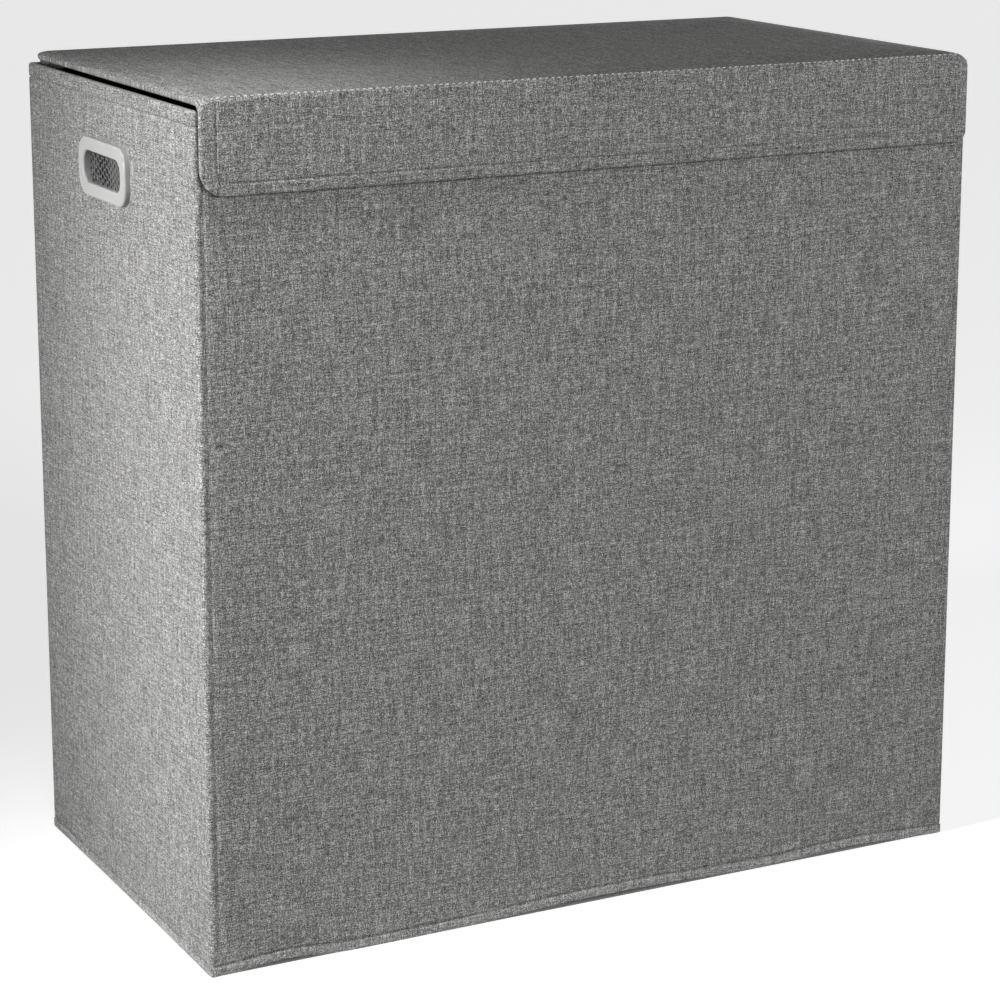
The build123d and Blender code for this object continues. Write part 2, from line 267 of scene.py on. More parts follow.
@dataclass(frozen=True)
class SpunLining:
    """Spun-bonded polypropylene, pressed in a grid of small bonds: a matt grey felt with pin dimples."""

    name: str = "spun_lining"
    dark: str = "#6b6b6b"
    pale: str = "#868686"
    bond: float = 2.4 * MM

    def material(self) -> Material:
        """Build the material, patterned by its own UV metres.

        Returns:
            The lining's material.
        """
        material, tree = new_material(self.name)
        place = add_node(tree, "UVMap", uv_map=CLOTH_MAP)
        fibres = streaks(tree, place, 1.6 * MM, 3.0 * MM, 3.0)
        colour = add_node(tree, "ValToRGB", {0: fibres}, stops={0.35: self.dark, 0.65: self.pale})
        over = ripple(tree, place, (1, 0, 0), self.bond)
        under = ripple(tree, place, (0, 1, 0), self.bond)
        grid = add_node(tree, "Math", {0: over, 1: under}, operation="MULTIPLY")
        height = add_node(tree, "Math", {0: grid, 1: 0.5, 2: fibres}, operation="MULTIPLY_ADD")
        close_material(tree, {"Roughness": 0.85, "IOR": 1.49}, colour, height, 0.2 * MM)
        return material


@dataclass(frozen=True)
class MouldedPlastic:
    """Polypropylene, injection moulded in a spark-eroded tool: mid grey with a soft satin shine."""

    name: str = "moulded_plastic"
    colour: str = "#949493"
    shade: str = "#90908f"
    grit: float = 0.9 * MM  # the eroded texture is finer; this is the smallest that shows

    def material(self) -> Material:
        """Build the material, patterned in the object's own metres.

        Returns:
            The plastic's material.
        """
        material, tree = new_material(self.name)
        place = add_node(tree, "TexCoord").outputs["Object"]
        grit = streaks(tree, place, self.grit, self.grit)
        cloud = streaks(tree, place, 30 * MM, 30 * MM, 1.0)
        colour = add_node(tree, "ValToRGB", {0: cloud}, stops={0.3: self.shade, 0.7: self.colour})
        rough = add_node(tree, "Math", {0: grit, 1: 0.12, 2: 0.24}, operation="MULTIPLY_ADD")
        constants = {"Roughness": rough, "IOR": 1.49, "Coat Weight": 0.15, "Coat Roughness": 0.2}
        close_material(tree, constants, colour, grit, 0.012 * MM)
        return material


@dataclass(frozen=True)
class WireMetal:
    """Drawn or pressed steel with a nickel plate: grey metal with fine lines along the drawing."""

    name: str
    colour: str = "#b9b8b4"
    roughness: float = 0.32

    def material(self) -> Material:
        """Build the material, patterned in the object's own metres.

        Returns:
            The metal's material.
        """
        material, tree = new_material(self.name)
        place = add_node(tree, "TexCoord").outputs["Object"]
        lines = streaks(tree, place, 6 * MM, 0.5 * MM)
        colour = add_node(tree, "ValToRGB", {0: lines}, stops={0.3: "#a3a29f", 0.7: self.colour})
        feeds = {0: lines, 1: 0.2, 2: self.roughness - 0.1}
        rough = add_node(tree, "Math", feeds, operation="MULTIPLY_ADD")
        close_material(tree, {"Roughness": rough, "Metallic": 1.0}, colour)
        return material


@dataclass(frozen=True)
class GreyBoard:
    """Chipboard of pressed waste paper: brown-grey, matt, flecked with darker and paler fibres."""

    name: str = "grey_board"
    dark: str = "#6f6557"
    pale: str = "#a2957f"

    def material(self) -> Material:
        """Build the material, patterned in the object's own metres.

        Returns:
            The board's material.
        """
        material, tree = new_material(self.name)
        place = add_node(tree, "TexCoord").outputs["Object"]
        flecks = streaks(tree, place, 2.5 * MM, 1.2 * MM, 4.0)
        colour = add_node(tree, "ValToRGB", {0: flecks}, stops={0.3: self.dark, 0.7: self.pale})
        rough = add_node(tree, "Math", {0: flecks, 1: 0.1, 2: 0.85}, operation="MULTIPLY_ADD")
        close_material(tree, {"Roughness": rough, "IOR": 1.5}, colour, flecks, 0.12 * MM)
        return material


@dataclass(frozen=True)
class KnitNet:
    """Warp-knitted polyester net: dark yarn round small round holes, which let the eye through."""

    name: str = "knit_net"
    dark: str = "#161616"
    pale: str = "#2c2c2c"
    pitch: float = 7.4 * MM  # from hole to hole
    holes: bool = True

    def material(self) -> Material:
        """Build the material, patterned by its own UV metres.

        Returns:
            The net's material.
        """
        material, tree = new_material(self.name)
        place = add_node(tree, "UVMap", uv_map=CLOTH_MAP)
        yarns = streaks(tree, place, 0.5 * MM, 2.0 * MM)
        colour = add_node(tree, "ValToRGB", {0: yarns}, stops={0.35: self.dark, 0.65: self.pale})
        shader = close_material(tree, {"Roughness": 0.6, "IOR": 1.53}, colour, yarns, 0.08 * MM)
        if self.holes:
            crest = self.pitch * math.sqrt(3) / 2
            lattice: Node | float = 0.0
            for turn in (math.pi / 2, math.pi / 6, -math.pi / 6):
                wave = ripple(tree, place, (math.cos(turn), math.sin(turn), 0), crest)
                lattice = add_node(tree, "Math", {0: lattice, 1: wave}, operation="ADD")
            solid = add_node(tree, "Math", {0: lattice, 1: 0.8}, operation="LESS_THAN")
            tree.links.new(solid.outputs[0], shader.inputs["Alpha"])
        return material


@dataclass(frozen=True)
class WovenTape:
    """Close-woven black polyester or polypropylene: fine raised ribs that catch a dull sheen."""

    name: str
    dark: str = "#151515"
    pale: str = "#303030"
    rib: float = 1.6 * MM
    slant: float = 0.0  # turn of the ribs, in degrees

    def material(self) -> Material:
        """Build the material, patterned by its own UV metres.

        Returns:
            The tape's material.
        """
        material, tree = new_material(self.name)
        place = add_node(tree, "UVMap", uv_map=CLOTH_MAP)
        turn = math.radians(self.slant)
        ribs = ripple(tree, place, (math.sin(turn), math.cos(turn), 0), self.rib)
        yarns = streaks(tree, place, 0.8 * MM, 3 * MM)
        mixed = add_node(tree, "Math", {0: ribs, 1: 0.25, 2: yarns}, operation="MULTIPLY_ADD")
        colour = add_node(tree, "ValToRGB", {0: mixed}, stops={0.25: self.dark, 0.75: self.pale})
        rough = add_node(tree, "Math", {0: yarns, 1: 0.2, 2: 0.58}, operation="MULTIPLY_ADD")
        close_material(tree, {"Roughness": rough, "IOR": 1.5}, colour, mixed, 0.36 * MM)
        return material


@dataclass(frozen=True)
class SewingThread:
    """Twisted polyester thread: short smooth dashes with a little shine."""

    name: str = "sewing_thread"
    colour: str = "#d6d5d3"
    shade: str = "#b4b3b1"

    def material(self) -> Material:
        """Build the material, with its twist drawn in the object's own metres.

        Returns:
            The thread's material.
        """
        material, tree = new_material(self.name)
        place = add_node(tree, "TexCoord").outputs["Object"]
        twist = ripple(tree, place, (0.6, 0.6, 0.53), 0.7 * MM)
        share = add_node(tree, "Math", {0: twist, 1: 0.4, 2: 0.5}, operation="MULTIPLY_ADD")
        colour = add_node(tree, "ValToRGB", {0: share}, stops={0.0: self.shade, 1.0: self.colour})
        close_material(tree, {"Roughness": 0.5, "IOR": 1.53}, colour, share, 0.08 * MM)
        return material


class Finishes:
    """Every finish of the hamper, each built once."""

    def __init__(self) -> None:
        """Build the materials."""
        self.linen = MelangeLinen().material()
        # The same cloth, a little paler, for the hem band where it is folded double: painted light, for the
        # light that the hem catches.
        self.fold = MelangeLinen("hem_painted_light", "#323231", "#7c7c7b", "#cbcbc9").material()
        self.lining = SpunLining().material()
        self.plastic = MouldedPlastic().material()
        self.steel = WireMetal("nickelled_disc").material()
        self.spring = WireMetal("spring_steel", "#a8a7a3", 0.38).material()
        self.board = GreyBoard().material()
        self.net = KnitNet().material()
        self.yarn = KnitNet("net_yarn", "#343434", "#545454", holes=False).material()
        self.collar = WovenTape("oxford_collar", rib=1.1 * MM).material()
        self.webbing = WovenTape("ribbed_webbing", rib=2.2 * MM, slant=35).material()
        self.fastener = WovenTape("hook_and_loop", "#101010", "#2a2a2a", 1.4 * MM, 20).material()
        self.thread = SewingThread().material()
        self.grey_thread = SewingThread("grey_thread", "#6e6e6d", "#4e4e4d").material()
        self.black_thread = SewingThread("black_thread", "#3a3a3a", "#1c1c1c").material()


# ---------------------------------------------------------------- mesh helpers


@dataclass
class Cloth:
    """A surface in the making: its points, its faces and the cloth metres at each corner of each face."""

    points: Array
    faces: list[tuple[int, ...]]
    corners: Array  # two cloth metres for each corner, face by face

    def joined(self, other: "Cloth") -> "Cloth":
        """Put another surface beside this one.

        Args:
            other: the surface to add.

        Returns:
            Both as one surface, with nothing welded.
        """
        faces = self.faces + [tuple(i + len(self.points) for i in face) for face in other.faces]
        points = np.vstack([self.points, other.points])
        return Cloth(points, faces, np.vstack([self.corners, other.corners]))

    def to_object(self, name: str, material: Material, slot: str) -> Piece:
        """Make the mesh object.

        Args:
            name: the piece's name.
            material: its finish.
            slot: the record's material slot; not used.

        Returns:
            The object, smooth shaded and linked to the scene.
        """
        mesh = bpy.data.meshes.new(name)
        mesh.from_pydata([tuple(p) for p in self.points], [], self.faces)
        mesh.uv_layers.new(name=CLOTH_MAP).data.foreach_set("uv", self.corners.astype(np.float32).ravel())
        mesh.polygons.foreach_set("use_smooth", [True] * len(self.faces))
        mesh.materials.append(material)
        mesh.validate()
        mesh.update()
        made = bpy.data.objects.new(name, mesh)
        bpy.context.scene.collection.objects.link(made)
        log.info("%s: %d faces", name, len(self.faces))
        return made


def grid_cloth(
    points: Array,
    metres: Array,
    wrap: bool = False,
    skip: Callable[[Array], bool] | None = None,
    flip: bool = False,
) -> Cloth:
    """Lay faces over a grid of points.

    Args:
        points: rows by columns by 3.
        metres: rows by columns by 2, with one more column where the grid wraps round.
        wrap: whether the last column joins the first.
        skip: says of a face's middle whether it is left out.
        flip: whether the faces turn the other way.

    Returns:
        The surface.
    """
    rows, columns = points.shape[:2]
    faces: list[tuple[int, ...]] = []
    corners: list[Array] = []
    for r in range(rows - 1):
        for c in range(columns if wrap else columns - 1):
            n = (c + 1) % columns
            cells = [(r, c, c), (r, n, c + 1), (r + 1, n, c + 1), (r + 1, c, c)]
            if flip:
                cells.reverse()
            if skip and skip(sum(points[row, column] for row, column, _ in cells) / 4):
                continue
            faces.append(tuple(row * columns + column for row, column, _ in cells))
            corners.extend(metres[row, place] for row, _, place in cells)
    return Cloth(points.reshape(-1, 3), faces, np.array(corners))


def thicken(piece: Piece, thickness: float) -> None:
    """Give a cloth its thickness, inwards from its faces, and keep the result as its mesh.

    Args:
        piece: the cloth.
        thickness: in metres.
    """
    solidify = piece.modifiers.new("thickness", "SOLIDIFY")
    solidify.thickness = thickness
    solidify.offset = -1
    bpy.context.view_layer.update()
    graph = bpy.context.evaluated_depsgraph_get()
    final = bpy.data.meshes.new_from_object(piece.evaluated_get(graph))
    piece.modifiers.clear()
    piece.data = final


def stations(length: float, step: float, near: Sequence[float] = (), marks: Sequence[float] = ()) -> Array:
    """Choose places along an edge: regular, closer by both ends, and exactly at the marks.

    Args:
        length: the edge's length.
        step: the regular spacing.
        near: distances from each end that get a place.
        marks: places that must be there.

    Returns:
        The places in order, from 0 to the length.
    """
    fixed = sorted({0.0, length, *near, *(length - a for a in near), *marks})
    regular = np.linspace(0, length, max(2, round(length / step)) + 1)
    kept = [r for r in regular if min(abs(r - f) for f in fixed) > step / 3]
    return np.array(sorted([*fixed, *kept]))


@dataclass(frozen=True)
class Walk:
    """One round of a rectangle with round corners, seen from above: left side first, then the front."""

    width: float
    depth: float
    corner: float
    step: float
    near: tuple[float, ...] = ()
    side_marks: tuple[float, ...] = ()
    middle: tuple[float, float] = (0.0, 0.0)
    corner_steps: int = 4

    def round(self) -> Walked:
        """Walk the outline once.

        Returns:
            Arrays by name: place (x, y), out (x, y), run (metres walked), total (metres all round),
            along (-1 to 1 on a side), gap (distance to the side's nearer end) and side (0 left,
            1 front, 2 right, 3 back).
        """
        rows: list[tuple[float, ...]] = []
        run = 0.0
        for number, side in enumerate(Side):
            out = Vector(side.value)
            ahead = Vector((-out.y, out.x))
            reach = (self.width if out.x else self.depth) / 2
            length = (self.depth if out.x else self.width) - 2 * self.corner
            marks = [length / 2 + m for m in self.side_marks] if out.x else []
            places = stations(length, self.step, self.near, marks)
            for place in places:
                spot = out * reach + ahead * (place - length / 2)
                gap = min(place, length - place)
                rows.append((*spot, *out, run + place, 2 * place / length - 1, gap, number))
            run += length
            centre = out * (reach - self.corner) + ahead * (length / 2)
            for i in range(1, self.corner_steps):
                turn = math.pi / 2 * i / self.corner_steps
                facing = out * math.cos(turn) + ahead * math.sin(turn)
                spot = centre + facing * self.corner
                rows.append((*spot, *facing, run + self.corner * turn, 1.0, 0.0, number))
            run += self.corner * math.pi / 2
        table = np.array(rows)
        return {
            "place": table[:, 0:2],
            "out": table[:, 2:4],
            "run": table[:, 4],
            "total": np.array([run]),
            "along": table[:, 5],
            "gap": table[:, 6],
            "side": table[:, 7].astype(int),
        }

    def offset(self, walked: Walked, out: Array) -> Array:
        """Move the outline outwards, with its corners mitred where it moves inwards.

        Args:
            walked: what round() returned.
            out: how far each point moves, in metres.

        Returns:
            The moved points, one row each.
        """
        moved = walked["place"] + walked["out"] * out[:, None]
        half = np.array([self.width / 2, self.depth / 2])
        least = 0.5 * MM  # so that opposite sides never meet
        limit = np.maximum(half[None, :] + np.minimum(out[:, None], 0), least)
        inward = out[:, None] < 0
        return np.where(inward, np.clip(moved, -limit, limit), moved) + np.array(self.middle)


def sleeve(
    walk: Walk,
    rows: Sequence[tuple[float, float]],
    shape: Shape,
    skip: Callable[[Array], bool] | None = None,
    flip: bool = False,
) -> Cloth:
    """Sweep a cloth round an outline, row by row.

    Args:
        walk: the outline.
        rows: for each row, how far out it is and its height.
        shape: gives each row's final distances out and heights from the walked outline.
        skip: says of a face's middle whether it is left out, for a hole.
        flip: whether the faces look inwards.

    Returns:
        The sleeve.
    """
    walked = walk.round()
    points, metres = [], []
    length = 0.0
    for i, (out, height) in enumerate(rows):
        if i:
            length += math.hypot(out - rows[i - 1][0], height - rows[i - 1][1])
        outs, heights = shape(walked, out, height)
        plan = walk.offset(walked, outs)
        points.append(np.column_stack([plan, heights]))
        runs = np.append(walked["run"], walked["total"])
        metres.append(np.column_stack([runs, np.full(len(runs), -length)]))
    return grid_cloth(np.array(points), np.array(metres), wrap=True, skip=skip, flip=not flip)


def slot(distance: Array | float, half: float, depth: float) -> Array:
    """Give the depth of a stitched groove at a distance from its line: a V, which stays dark inside."""
    return depth * np.clip(1 - np.abs(distance) / half, 0, 1)


def wander(points: Array, size: float, seed: float) -> Array:
    """Give each point a smooth random value, about -1 to 1, with bumps as far apart as the size."""
    return np.array([noise.noise(Vector(p) / size + Vector((seed, 2 * seed, 3 * seed))) for p in points])


def wander_flat(x: Array, v: Array, size: float, seed: float) -> Array:
    """Give each place of a flat cloth such a value, from its distances across and along."""
    flat = np.stack([x, v, np.zeros_like(x)], -1).reshape(-1, 3)
    return wander(flat, size, seed).reshape(x.shape)


def ring_at(walked: Walked, height: float) -> Array:
    """Give the points of a walked outline at a height, one row each."""
    return np.column_stack([walked["place"], np.full(len(walked["run"]), height)])


def sewn(seams: Sequence[Cloth], name: str, thread: Material, slot_name: str, body: str) -> Piece:
    """Make rows of stitches into one piece on a body."""
    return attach(reduce(Cloth.joined, seams).to_object(name, thread, slot_name), body)


def draped(route: Sequence[tuple[float, float]], across: Array) -> tuple[Array, Array]:
    """Lay a grid along a smoothed route, the same all the way across.

    Args:
        route: places (y, z) for the cloth to pass near.
        across: places along X.

    Returns:
        The grid's points and its cloth metres, for grid_cloth().
    """
    path = rounded([Vector((0, y, z)) for y, z in route])
    run = np.concatenate([[0], np.cumsum([(b - a).length for a, b in zip(path, path[1:])])])
    x, v = np.meshgrid(across, run)
    y = np.repeat([[p.y] for p in path], len(across), 1)
    z = np.repeat([[p.z] for p in path], len(across), 1)
    return np.stack([x, y, z], -1), np.stack([x, v], -1)


def rounded(route: Sequence[Vector]) -> list[Vector]:
    """Smooth a short route with a curve through its points' middles.

    Args:
        route: the points to pass near.

    Returns:
        Closer points on the smooth curve.
    """
    path = [route[0]]
    for a, b, c in zip(route, route[1:], route[2:]):
        first = (a + b) / 2 if a is not route[0] else a
        last = (b + c) / 2 if c is not route[-1] else c
        for t in (0.25, 0.5, 0.75, 1.0):
            path.append(first * (1 - t) ** 2 + b * 2 * t * (1 - t) + last * t**2)
    return path


@dataclass(frozen=True)
class Seam:
    """A row of machine stitches: short lengths of thread that dip into the cloth at both ends."""

    pitch: float = 6.5 * MM
    dash: float = 3.9 * MM
    thread: float = 0.42 * MM

    def sew(self, path: Array, out: Array) -> Cloth:
        """Make the stitches along a line.

        Args:
            path: the line's points on the cloth, one row each.
            out: the way out of the cloth, one row for each point or one for all of them.

        Returns:
            The stitches as one surface.
        """
        out = np.broadcast_to(out, path.shape)
        steps = np.linalg.norm(np.diff(path, axis=0), axis=1)
        run = np.concatenate([[0], np.cumsum(steps)])
        count = int((run[-1] - self.dash) / self.pitch)
        starts = (run[-1] - count * self.pitch) / 2 + np.arange(count) * self.pitch
        shares = np.array([0.0, 0.2, 0.5, 0.8, 1.0])
        dips = np.array([-0.9, 0.35, 0.75, 0.35, -0.9]) * self.thread
        turns = np.linspace(0, math.tau, 6, endpoint=False)
        where = starts[:, None] + shares[None, :] * self.dash
        centre = np.stack([np.interp(where, run, path[:, k]) for k in range(3)], -1)
        normal = np.stack([np.interp(where, run, out[:, k]) for k in range(3)], -1)
        normal /= np.linalg.norm(normal, axis=-1, keepdims=True)
        along = np.gradient(centre, axis=1)
        along /= np.linalg.norm(along, axis=-1, keepdims=True)
        side = np.cross(along, normal)
        centre = centre + normal * dips[None, :, None]
        ring = side[:, :, None, :] * np.cos(turns)[None, None, :, None]
        ring = ring + normal[:, :, None, :] * np.sin(turns)[None, None, :, None]
        points = centre[:, :, None, :] + ring * self.thread / 2
        faces = []
        sides = len(turns)
        for s in range(count):
            low = s * len(shares) * sides
            high = low + (len(shares) - 1) * sides
            for first in range(low, high, sides):
                for t in range(sides):
                    u = (t + 1) % sides
                    faces.append((first + t, first + u, first + sides + u, first + sides + t))
            faces.append(tuple(low + t for t in reversed(range(sides))))
            faces.append(tuple(high + t for t in range(sides)))
        corners = np.zeros((sum(len(f) for f in faces), 2))
        return Cloth(points.reshape(-1, 3), faces, corners)


def ribbon(path: Sequence[Vector], across: Sequence[Vector], width: float, thickness: float) -> Cloth:
    """Lay a flat tape with soft edges along a path.

    Args:
        path: the tape's middle line.
        across: the unit vector across the tape at each point.
        width: in metres.
        thickness: in metres.

    Returns:
        The tape, closed at both ends.
    """
    edge = thickness / 2
    outline = [(-width / 2, 0.0), (-width / 2 + 0.3 * edge, 0.7 * edge), (-width / 2 + edge, edge)]
    outline += [(width / 2 * s, edge) for s in (-0.5, 0.0, 0.5)]
    outline += [(width / 2 - edge, edge), (width / 2 - 0.3 * edge, 0.7 * edge)]
    outline += [(-a, -b) for a, b in outline]
    points, metres = [], []
    run = 0.0
    for i, spot in enumerate(path):
        ahead = (path[min(i + 1, len(path) - 1)] - path[max(i - 1, 0)]).normalized()
        up = ahead.cross(across[i]).normalized()
        if i:
            run += (spot - path[i - 1]).length
        points.append([tuple(spot + across[i] * a + up * b) for a, b in outline])
        metres.append([(a, run) for a, _ in outline] + [(outline[0][0], run)])
    made = grid_cloth(np.array(points), np.array(metres), wrap=True)
    columns = len(outline)
    last = (len(path) - 1) * columns
    ends = [tuple(reversed(range(columns))), tuple(last + c for c in range(columns))]
    made.faces.extend(ends)
    made.corners = np.vstack([made.corners, np.zeros((2 * columns, 2))])
    return made


def blended(piece: Piece) -> Piece:
    """Bake a cloth's placing into its mesh, once its mesh is final."""
    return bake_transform(piece)


# ---------------------------------------------------------------- outer box


@dataclass
class BoxCloth:
    """The box's outer cloth: one sleeve with a folded hem at its foot, turned down inside at its top."""

    finishes: Finishes
    corner: float = 2.2 * MM
    rim_roll: float = 2.4 * MM  # radius of the rim's two edges
    hem: float = 7.0 * MM
    hem_proud: float = 0.6 * MM
    turn_down: float = 22.0 * MM
    seam_drop: float = 10.5 * MM  # from the top edge to its row of stitches
    seam_depth: float = 1.0 * MM
    cloth: float = 0.8 * MM
    ease: float = 0.45 * MM  # how far the cloth stands off its boards
    seam_half: float = 0.8 * MM  # half the width of that seam's groove
    softness: float = 0.45 * MM  # how far the cloth wanders in and out
    fade: float = 30.0 * MM  # from a corner to where it wanders fully
    edge_line: float = 2.8 * MM  # from a corner to the groove down the edge of a long wall
    edge_half: float = 0.9 * MM
    edge_depth: float = 0.7 * MM
    ring_lap: float = 5.0 * MM  # how far a locking ring laps over the cloth round its hand hole
    hole_reach: float = 12.0 * MM  # how deep the cloth is cut away there
    # Where the foot of a long wall lifts, from -1 to 1 along it, how widely, and its share of the full lift.
    long_bumps: tuple[tuple[float, float, float], ...] = (
        (-0.83, 0.11, 0.85),
        (0.04, 0.34, 1.0),
        (0.72, 0.17, 0.8),
    )

    def __post_init__(self) -> None:
        """Read the box's size from the frame."""
        low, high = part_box("front_cover")
        self.width = high.x - low.x
        self.depth = 2 * abs(low.y)
        self.height = high.z
        self.rim = high.y - low.y
        foot_low, foot_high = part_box("front_hem")
        self.long_arch = foot_high.z - foot_low.z - self.hem
        side_low, side_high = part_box("left_hem")
        self.short_arch = side_high.z - side_low.z - self.hem
        hole_low, hole_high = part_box("left_handle_ring")
        across, up = (hole_high.y - hole_low.y) / 2, (hole_high.z - hole_low.z) / 2
        self.hole = Vector((0, across - self.ring_lap, up - self.ring_lap))
        self.hole_height = (hole_high.z + hole_low.z) / 2
        self.walk = Walk(
            self.width,
            self.depth,
            self.corner,
            5 * MM,
            near=(1.0 * MM, 2.0 * MM, 2.8 * MM, 3.6 * MM, 4.6 * MM),
            side_marks=(-self.hole.y, self.hole.y),
        )

    def in_hole(self, middle: Array) -> bool:
        """Say whether a face's middle lies in a hand hole."""
        across = abs(middle[1]) < self.hole.y and abs(middle[0]) > self.width / 2 - self.hole_reach
        return bool(across and abs(middle[2] - self.hole_height) < self.hole.z)

    def arch(self, walked: Walked) -> Array:
        """Find how far the foot is lifted off the floor.

        Args:
            walked: the walked outline.

        Returns:
            The lift of each column, in metres, with a slight ripple as a sewn hem has.
        """
        along = walked["along"]
        points = np.column_stack([walked["run"], np.zeros_like(along), np.zeros_like(along)])
        wave = wander(points, 45 * MM, 4.0) * 0.12 * (1 - along**2)
        lifts = [
            share * np.exp(-(((along - place) / width) ** 2)) for place, width, share in self.long_bumps
        ]
        long_wall = self.long_arch * np.clip(sum(lifts) + wave, 0, 1)
        short_wall = self.short_arch * np.clip(1 - along**2 + 3 * wave, 0, 1)
        return np.where(walked["side"] % 2 == 1, long_wall, short_wall)

    def rows(self) -> list[tuple[float, float]]:
        """List the sleeve's rows from inside the rim down to inside the hem.

        Returns:
            Distance out and height of each row. Rows below the hem's top are given from the floor.
        """
        top, soft = self.height, self.rim_roll
        inner = [(-self.rim, top - self.turn_down), (-self.rim, top - 12 * MM), (-self.rim, top - soft)]
        arcs = [(math.sin(a), math.cos(a)) for a in np.linspace(0, math.pi / 2, 5)[1:-1]]
        roll = [(-self.rim + soft * (1 - c), top - soft * (1 - s)) for s, c in arcs]
        roll += [(-self.rim + soft, top), (-soft, top)]
        roll += [(-soft * (1 - s), top - soft * (1 - c)) for s, c in arcs] + [(0.0, top - soft)]
        seam = top - self.seam_drop
        near = [3.4, 1.6, 0.8, 0.4, 0.0, -0.4, -0.8, -1.6, -3.4]
        rows = inner + roll + [(0.0, top - 4 * MM)] + [(0.0, seam + n * MM) for n in near]
        bottom = self.hem + self.long_arch + 26 * MM
        hole = [self.hole_height + self.hole.z, self.hole_height - self.hole.z]
        places = stations(seam - 6 * MM - bottom, 9 * MM, (), [seam - 6 * MM - h for h in hole])
        rows += [(0.0, seam - 6 * MM - p) for p in places]
        return rows

    def foot_rows(self) -> list[tuple[float, float, float]]:
        """List the rows of the foot and its hem.

        Returns:
            Distance out, height over the hem's lower edge, and how much of the arch each row takes.
        """
        hem, proud = self.hem, self.hem_proud
        return [
            (0.0, hem + 20 * MM, 0.75),
            (0.0, hem + 13 * MM, 0.93),
            (0.0, hem + 7 * MM, 1.0),
            (0.0, hem + 3 * MM, 1.0),
            (-0.1 * MM, hem + 1.0 * MM, 1.0),
            (-1.2 * MM, hem + 0.6 * MM, 1.0),
            (-1.3 * MM, hem + 0.1 * MM, 1.0),
            (proud * 0.3, hem - 0.2 * MM, 1.0),
            (proud, hem - 0.9 * MM, 1.0),
            (proud * 0.95, hem * 0.5, 1.0),
            (proud, 1.2 * MM, 1.0),
            (proud * 0.5, 0.35 * MM, 1.0),
            (-0.4 * MM, 0.05 * MM, 1.0),
            (-1.2 * MM, 0.5 * MM, 1.0),
            (-2.1 * MM, hem, 1.0),
            (-2.1 * MM, hem + 5 * MM, 1.0),
        ]

    def surface(self, walked: Walked, out: float, height: float) -> Array:
        """Give a row of the wall its softness.

        Args:
            walked: the walked outline.
            out: the row's plain distance out.
            height: the row's height.

        Returns:
            The distance out of each column.
        """
        if out < -self.rim / 2:
            return np.full(len(walked["run"]), out)
        outs = np.full(len(walked["run"]), out + self.ease)
        quiet = np.clip(walked["gap"] / self.fade, 0, 1)
        around = walked["run"] / walked["total"] * math.tau
        ring = np.column_stack([np.cos(around) * 0.3, np.sin(around) * 0.3, np.full_like(around, height)])
        outs += wander(ring, 110 * MM, 1.0) * self.softness * quiet
        seam = self.height - self.seam_drop
        outs -= slot(height - seam, self.seam_half, self.seam_depth)
        pucker = math.exp(-abs(height - seam) / (7 * MM)) * 0.10 * MM
        outs += wander(ring * 4, 50 * MM, 7.0) * pucker
        groove = np.exp(-(((walked["gap"] - self.edge_line) / self.edge_half) ** 2))
        return outs - self.edge_depth * groove * (walked["side"] % 2 == 1)

    def build(self) -> None:
        """Make the sleeve and its stitches, and stand them for the CAD covers and hems."""
        walked = self.walk.round()
        arch = self.arch(walked)
        upper = self.rows()
        foot = self.foot_rows()
        rows = upper + [(out, over) for out, over, _ in foot]
        shares = [0.0] * len(upper) + [share for _, _, share in foot]
        counter = iter(range(len(rows)))  # the sleeve asks for each row once, in order

        def shape(walked: Walked, out: float, height: float) -> tuple[Array, Array]:
            """Give the next row its softness, and lift the rows of the foot.

            Args:
                walked: the walked outline.
                out: the row's plain distance out.
                height: its height, or for the foot its height over the hem's lower edge.

            Returns:
                The distance out and the height of each column.
            """
            number = next(counter)
            lift = arch * shares[number]
            if number < len(upper):
                return self.surface(walked, out, height), np.full(len(arch), height)
            outs = np.full(len(arch), out + self.ease)
            if out == 0.0:
                outs = self.surface(walked, out, height + self.long_arch)
            return outs, height + lift

        cloth = sleeve(self.walk, rows, shape, skip=self.in_hole)
        piece = cloth.to_object("box_cloth", self.finishes.linen, "linen_cloth")
        # Second slot: the paler linen, painted light on the hem band; the faces of the proud band low down
        # take it.
        piece.data.materials.append(self.finishes.fold)
        middles = np.abs([face.center for face in piece.data.polygons])
        step = self.ease + 0.1 * MM
        proud = (middles[:, 0] > self.width / 2 + step) | (middles[:, 1] > self.depth / 2 + step)
        band = proud & (middles[:, 2] < 2 * self.hem)
        piece.data.polygons.foreach_set("material_index", band.astype(np.int32))
        thicken(piece, self.cloth)
        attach(piece, "box")
        walls = [side.name.lower() for side in Side]
        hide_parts(*[f"{wall}_cover" for wall in walls], *[f"{wall}_hem" for wall in walls])
        self.sew(walked, arch)

    def sew(self, walked: Walked, arch: Array) -> None:
        """Stitch the rim's seam and the hem.

        Args:
            walked: the walked outline.
            arch: the lift of the foot at each column.
        """
        out = np.column_stack([walked["out"], np.zeros(len(arch))])
        seam = self.height - self.seam_drop
        outs = self.surface(walked, 0.0, seam) + 0.1 * MM
        rim = np.column_stack([self.walk.offset(walked, outs), np.full(len(arch), seam)])
        hem_line = self.hem - 2.2 * MM
        outs = np.full(len(arch), self.ease + self.hem_proud + 0.02 * MM)
        foot = np.column_stack([self.walk.offset(walked, outs), arch + hem_line])
        thread = Seam(thread=0.3 * MM)
        for name, line in (("rim_stitches", rim), ("hem_stitches", foot)):
            sewn([thread.sew(line, out)], name, self.finishes.grey_thread, "linen_cloth", "box")


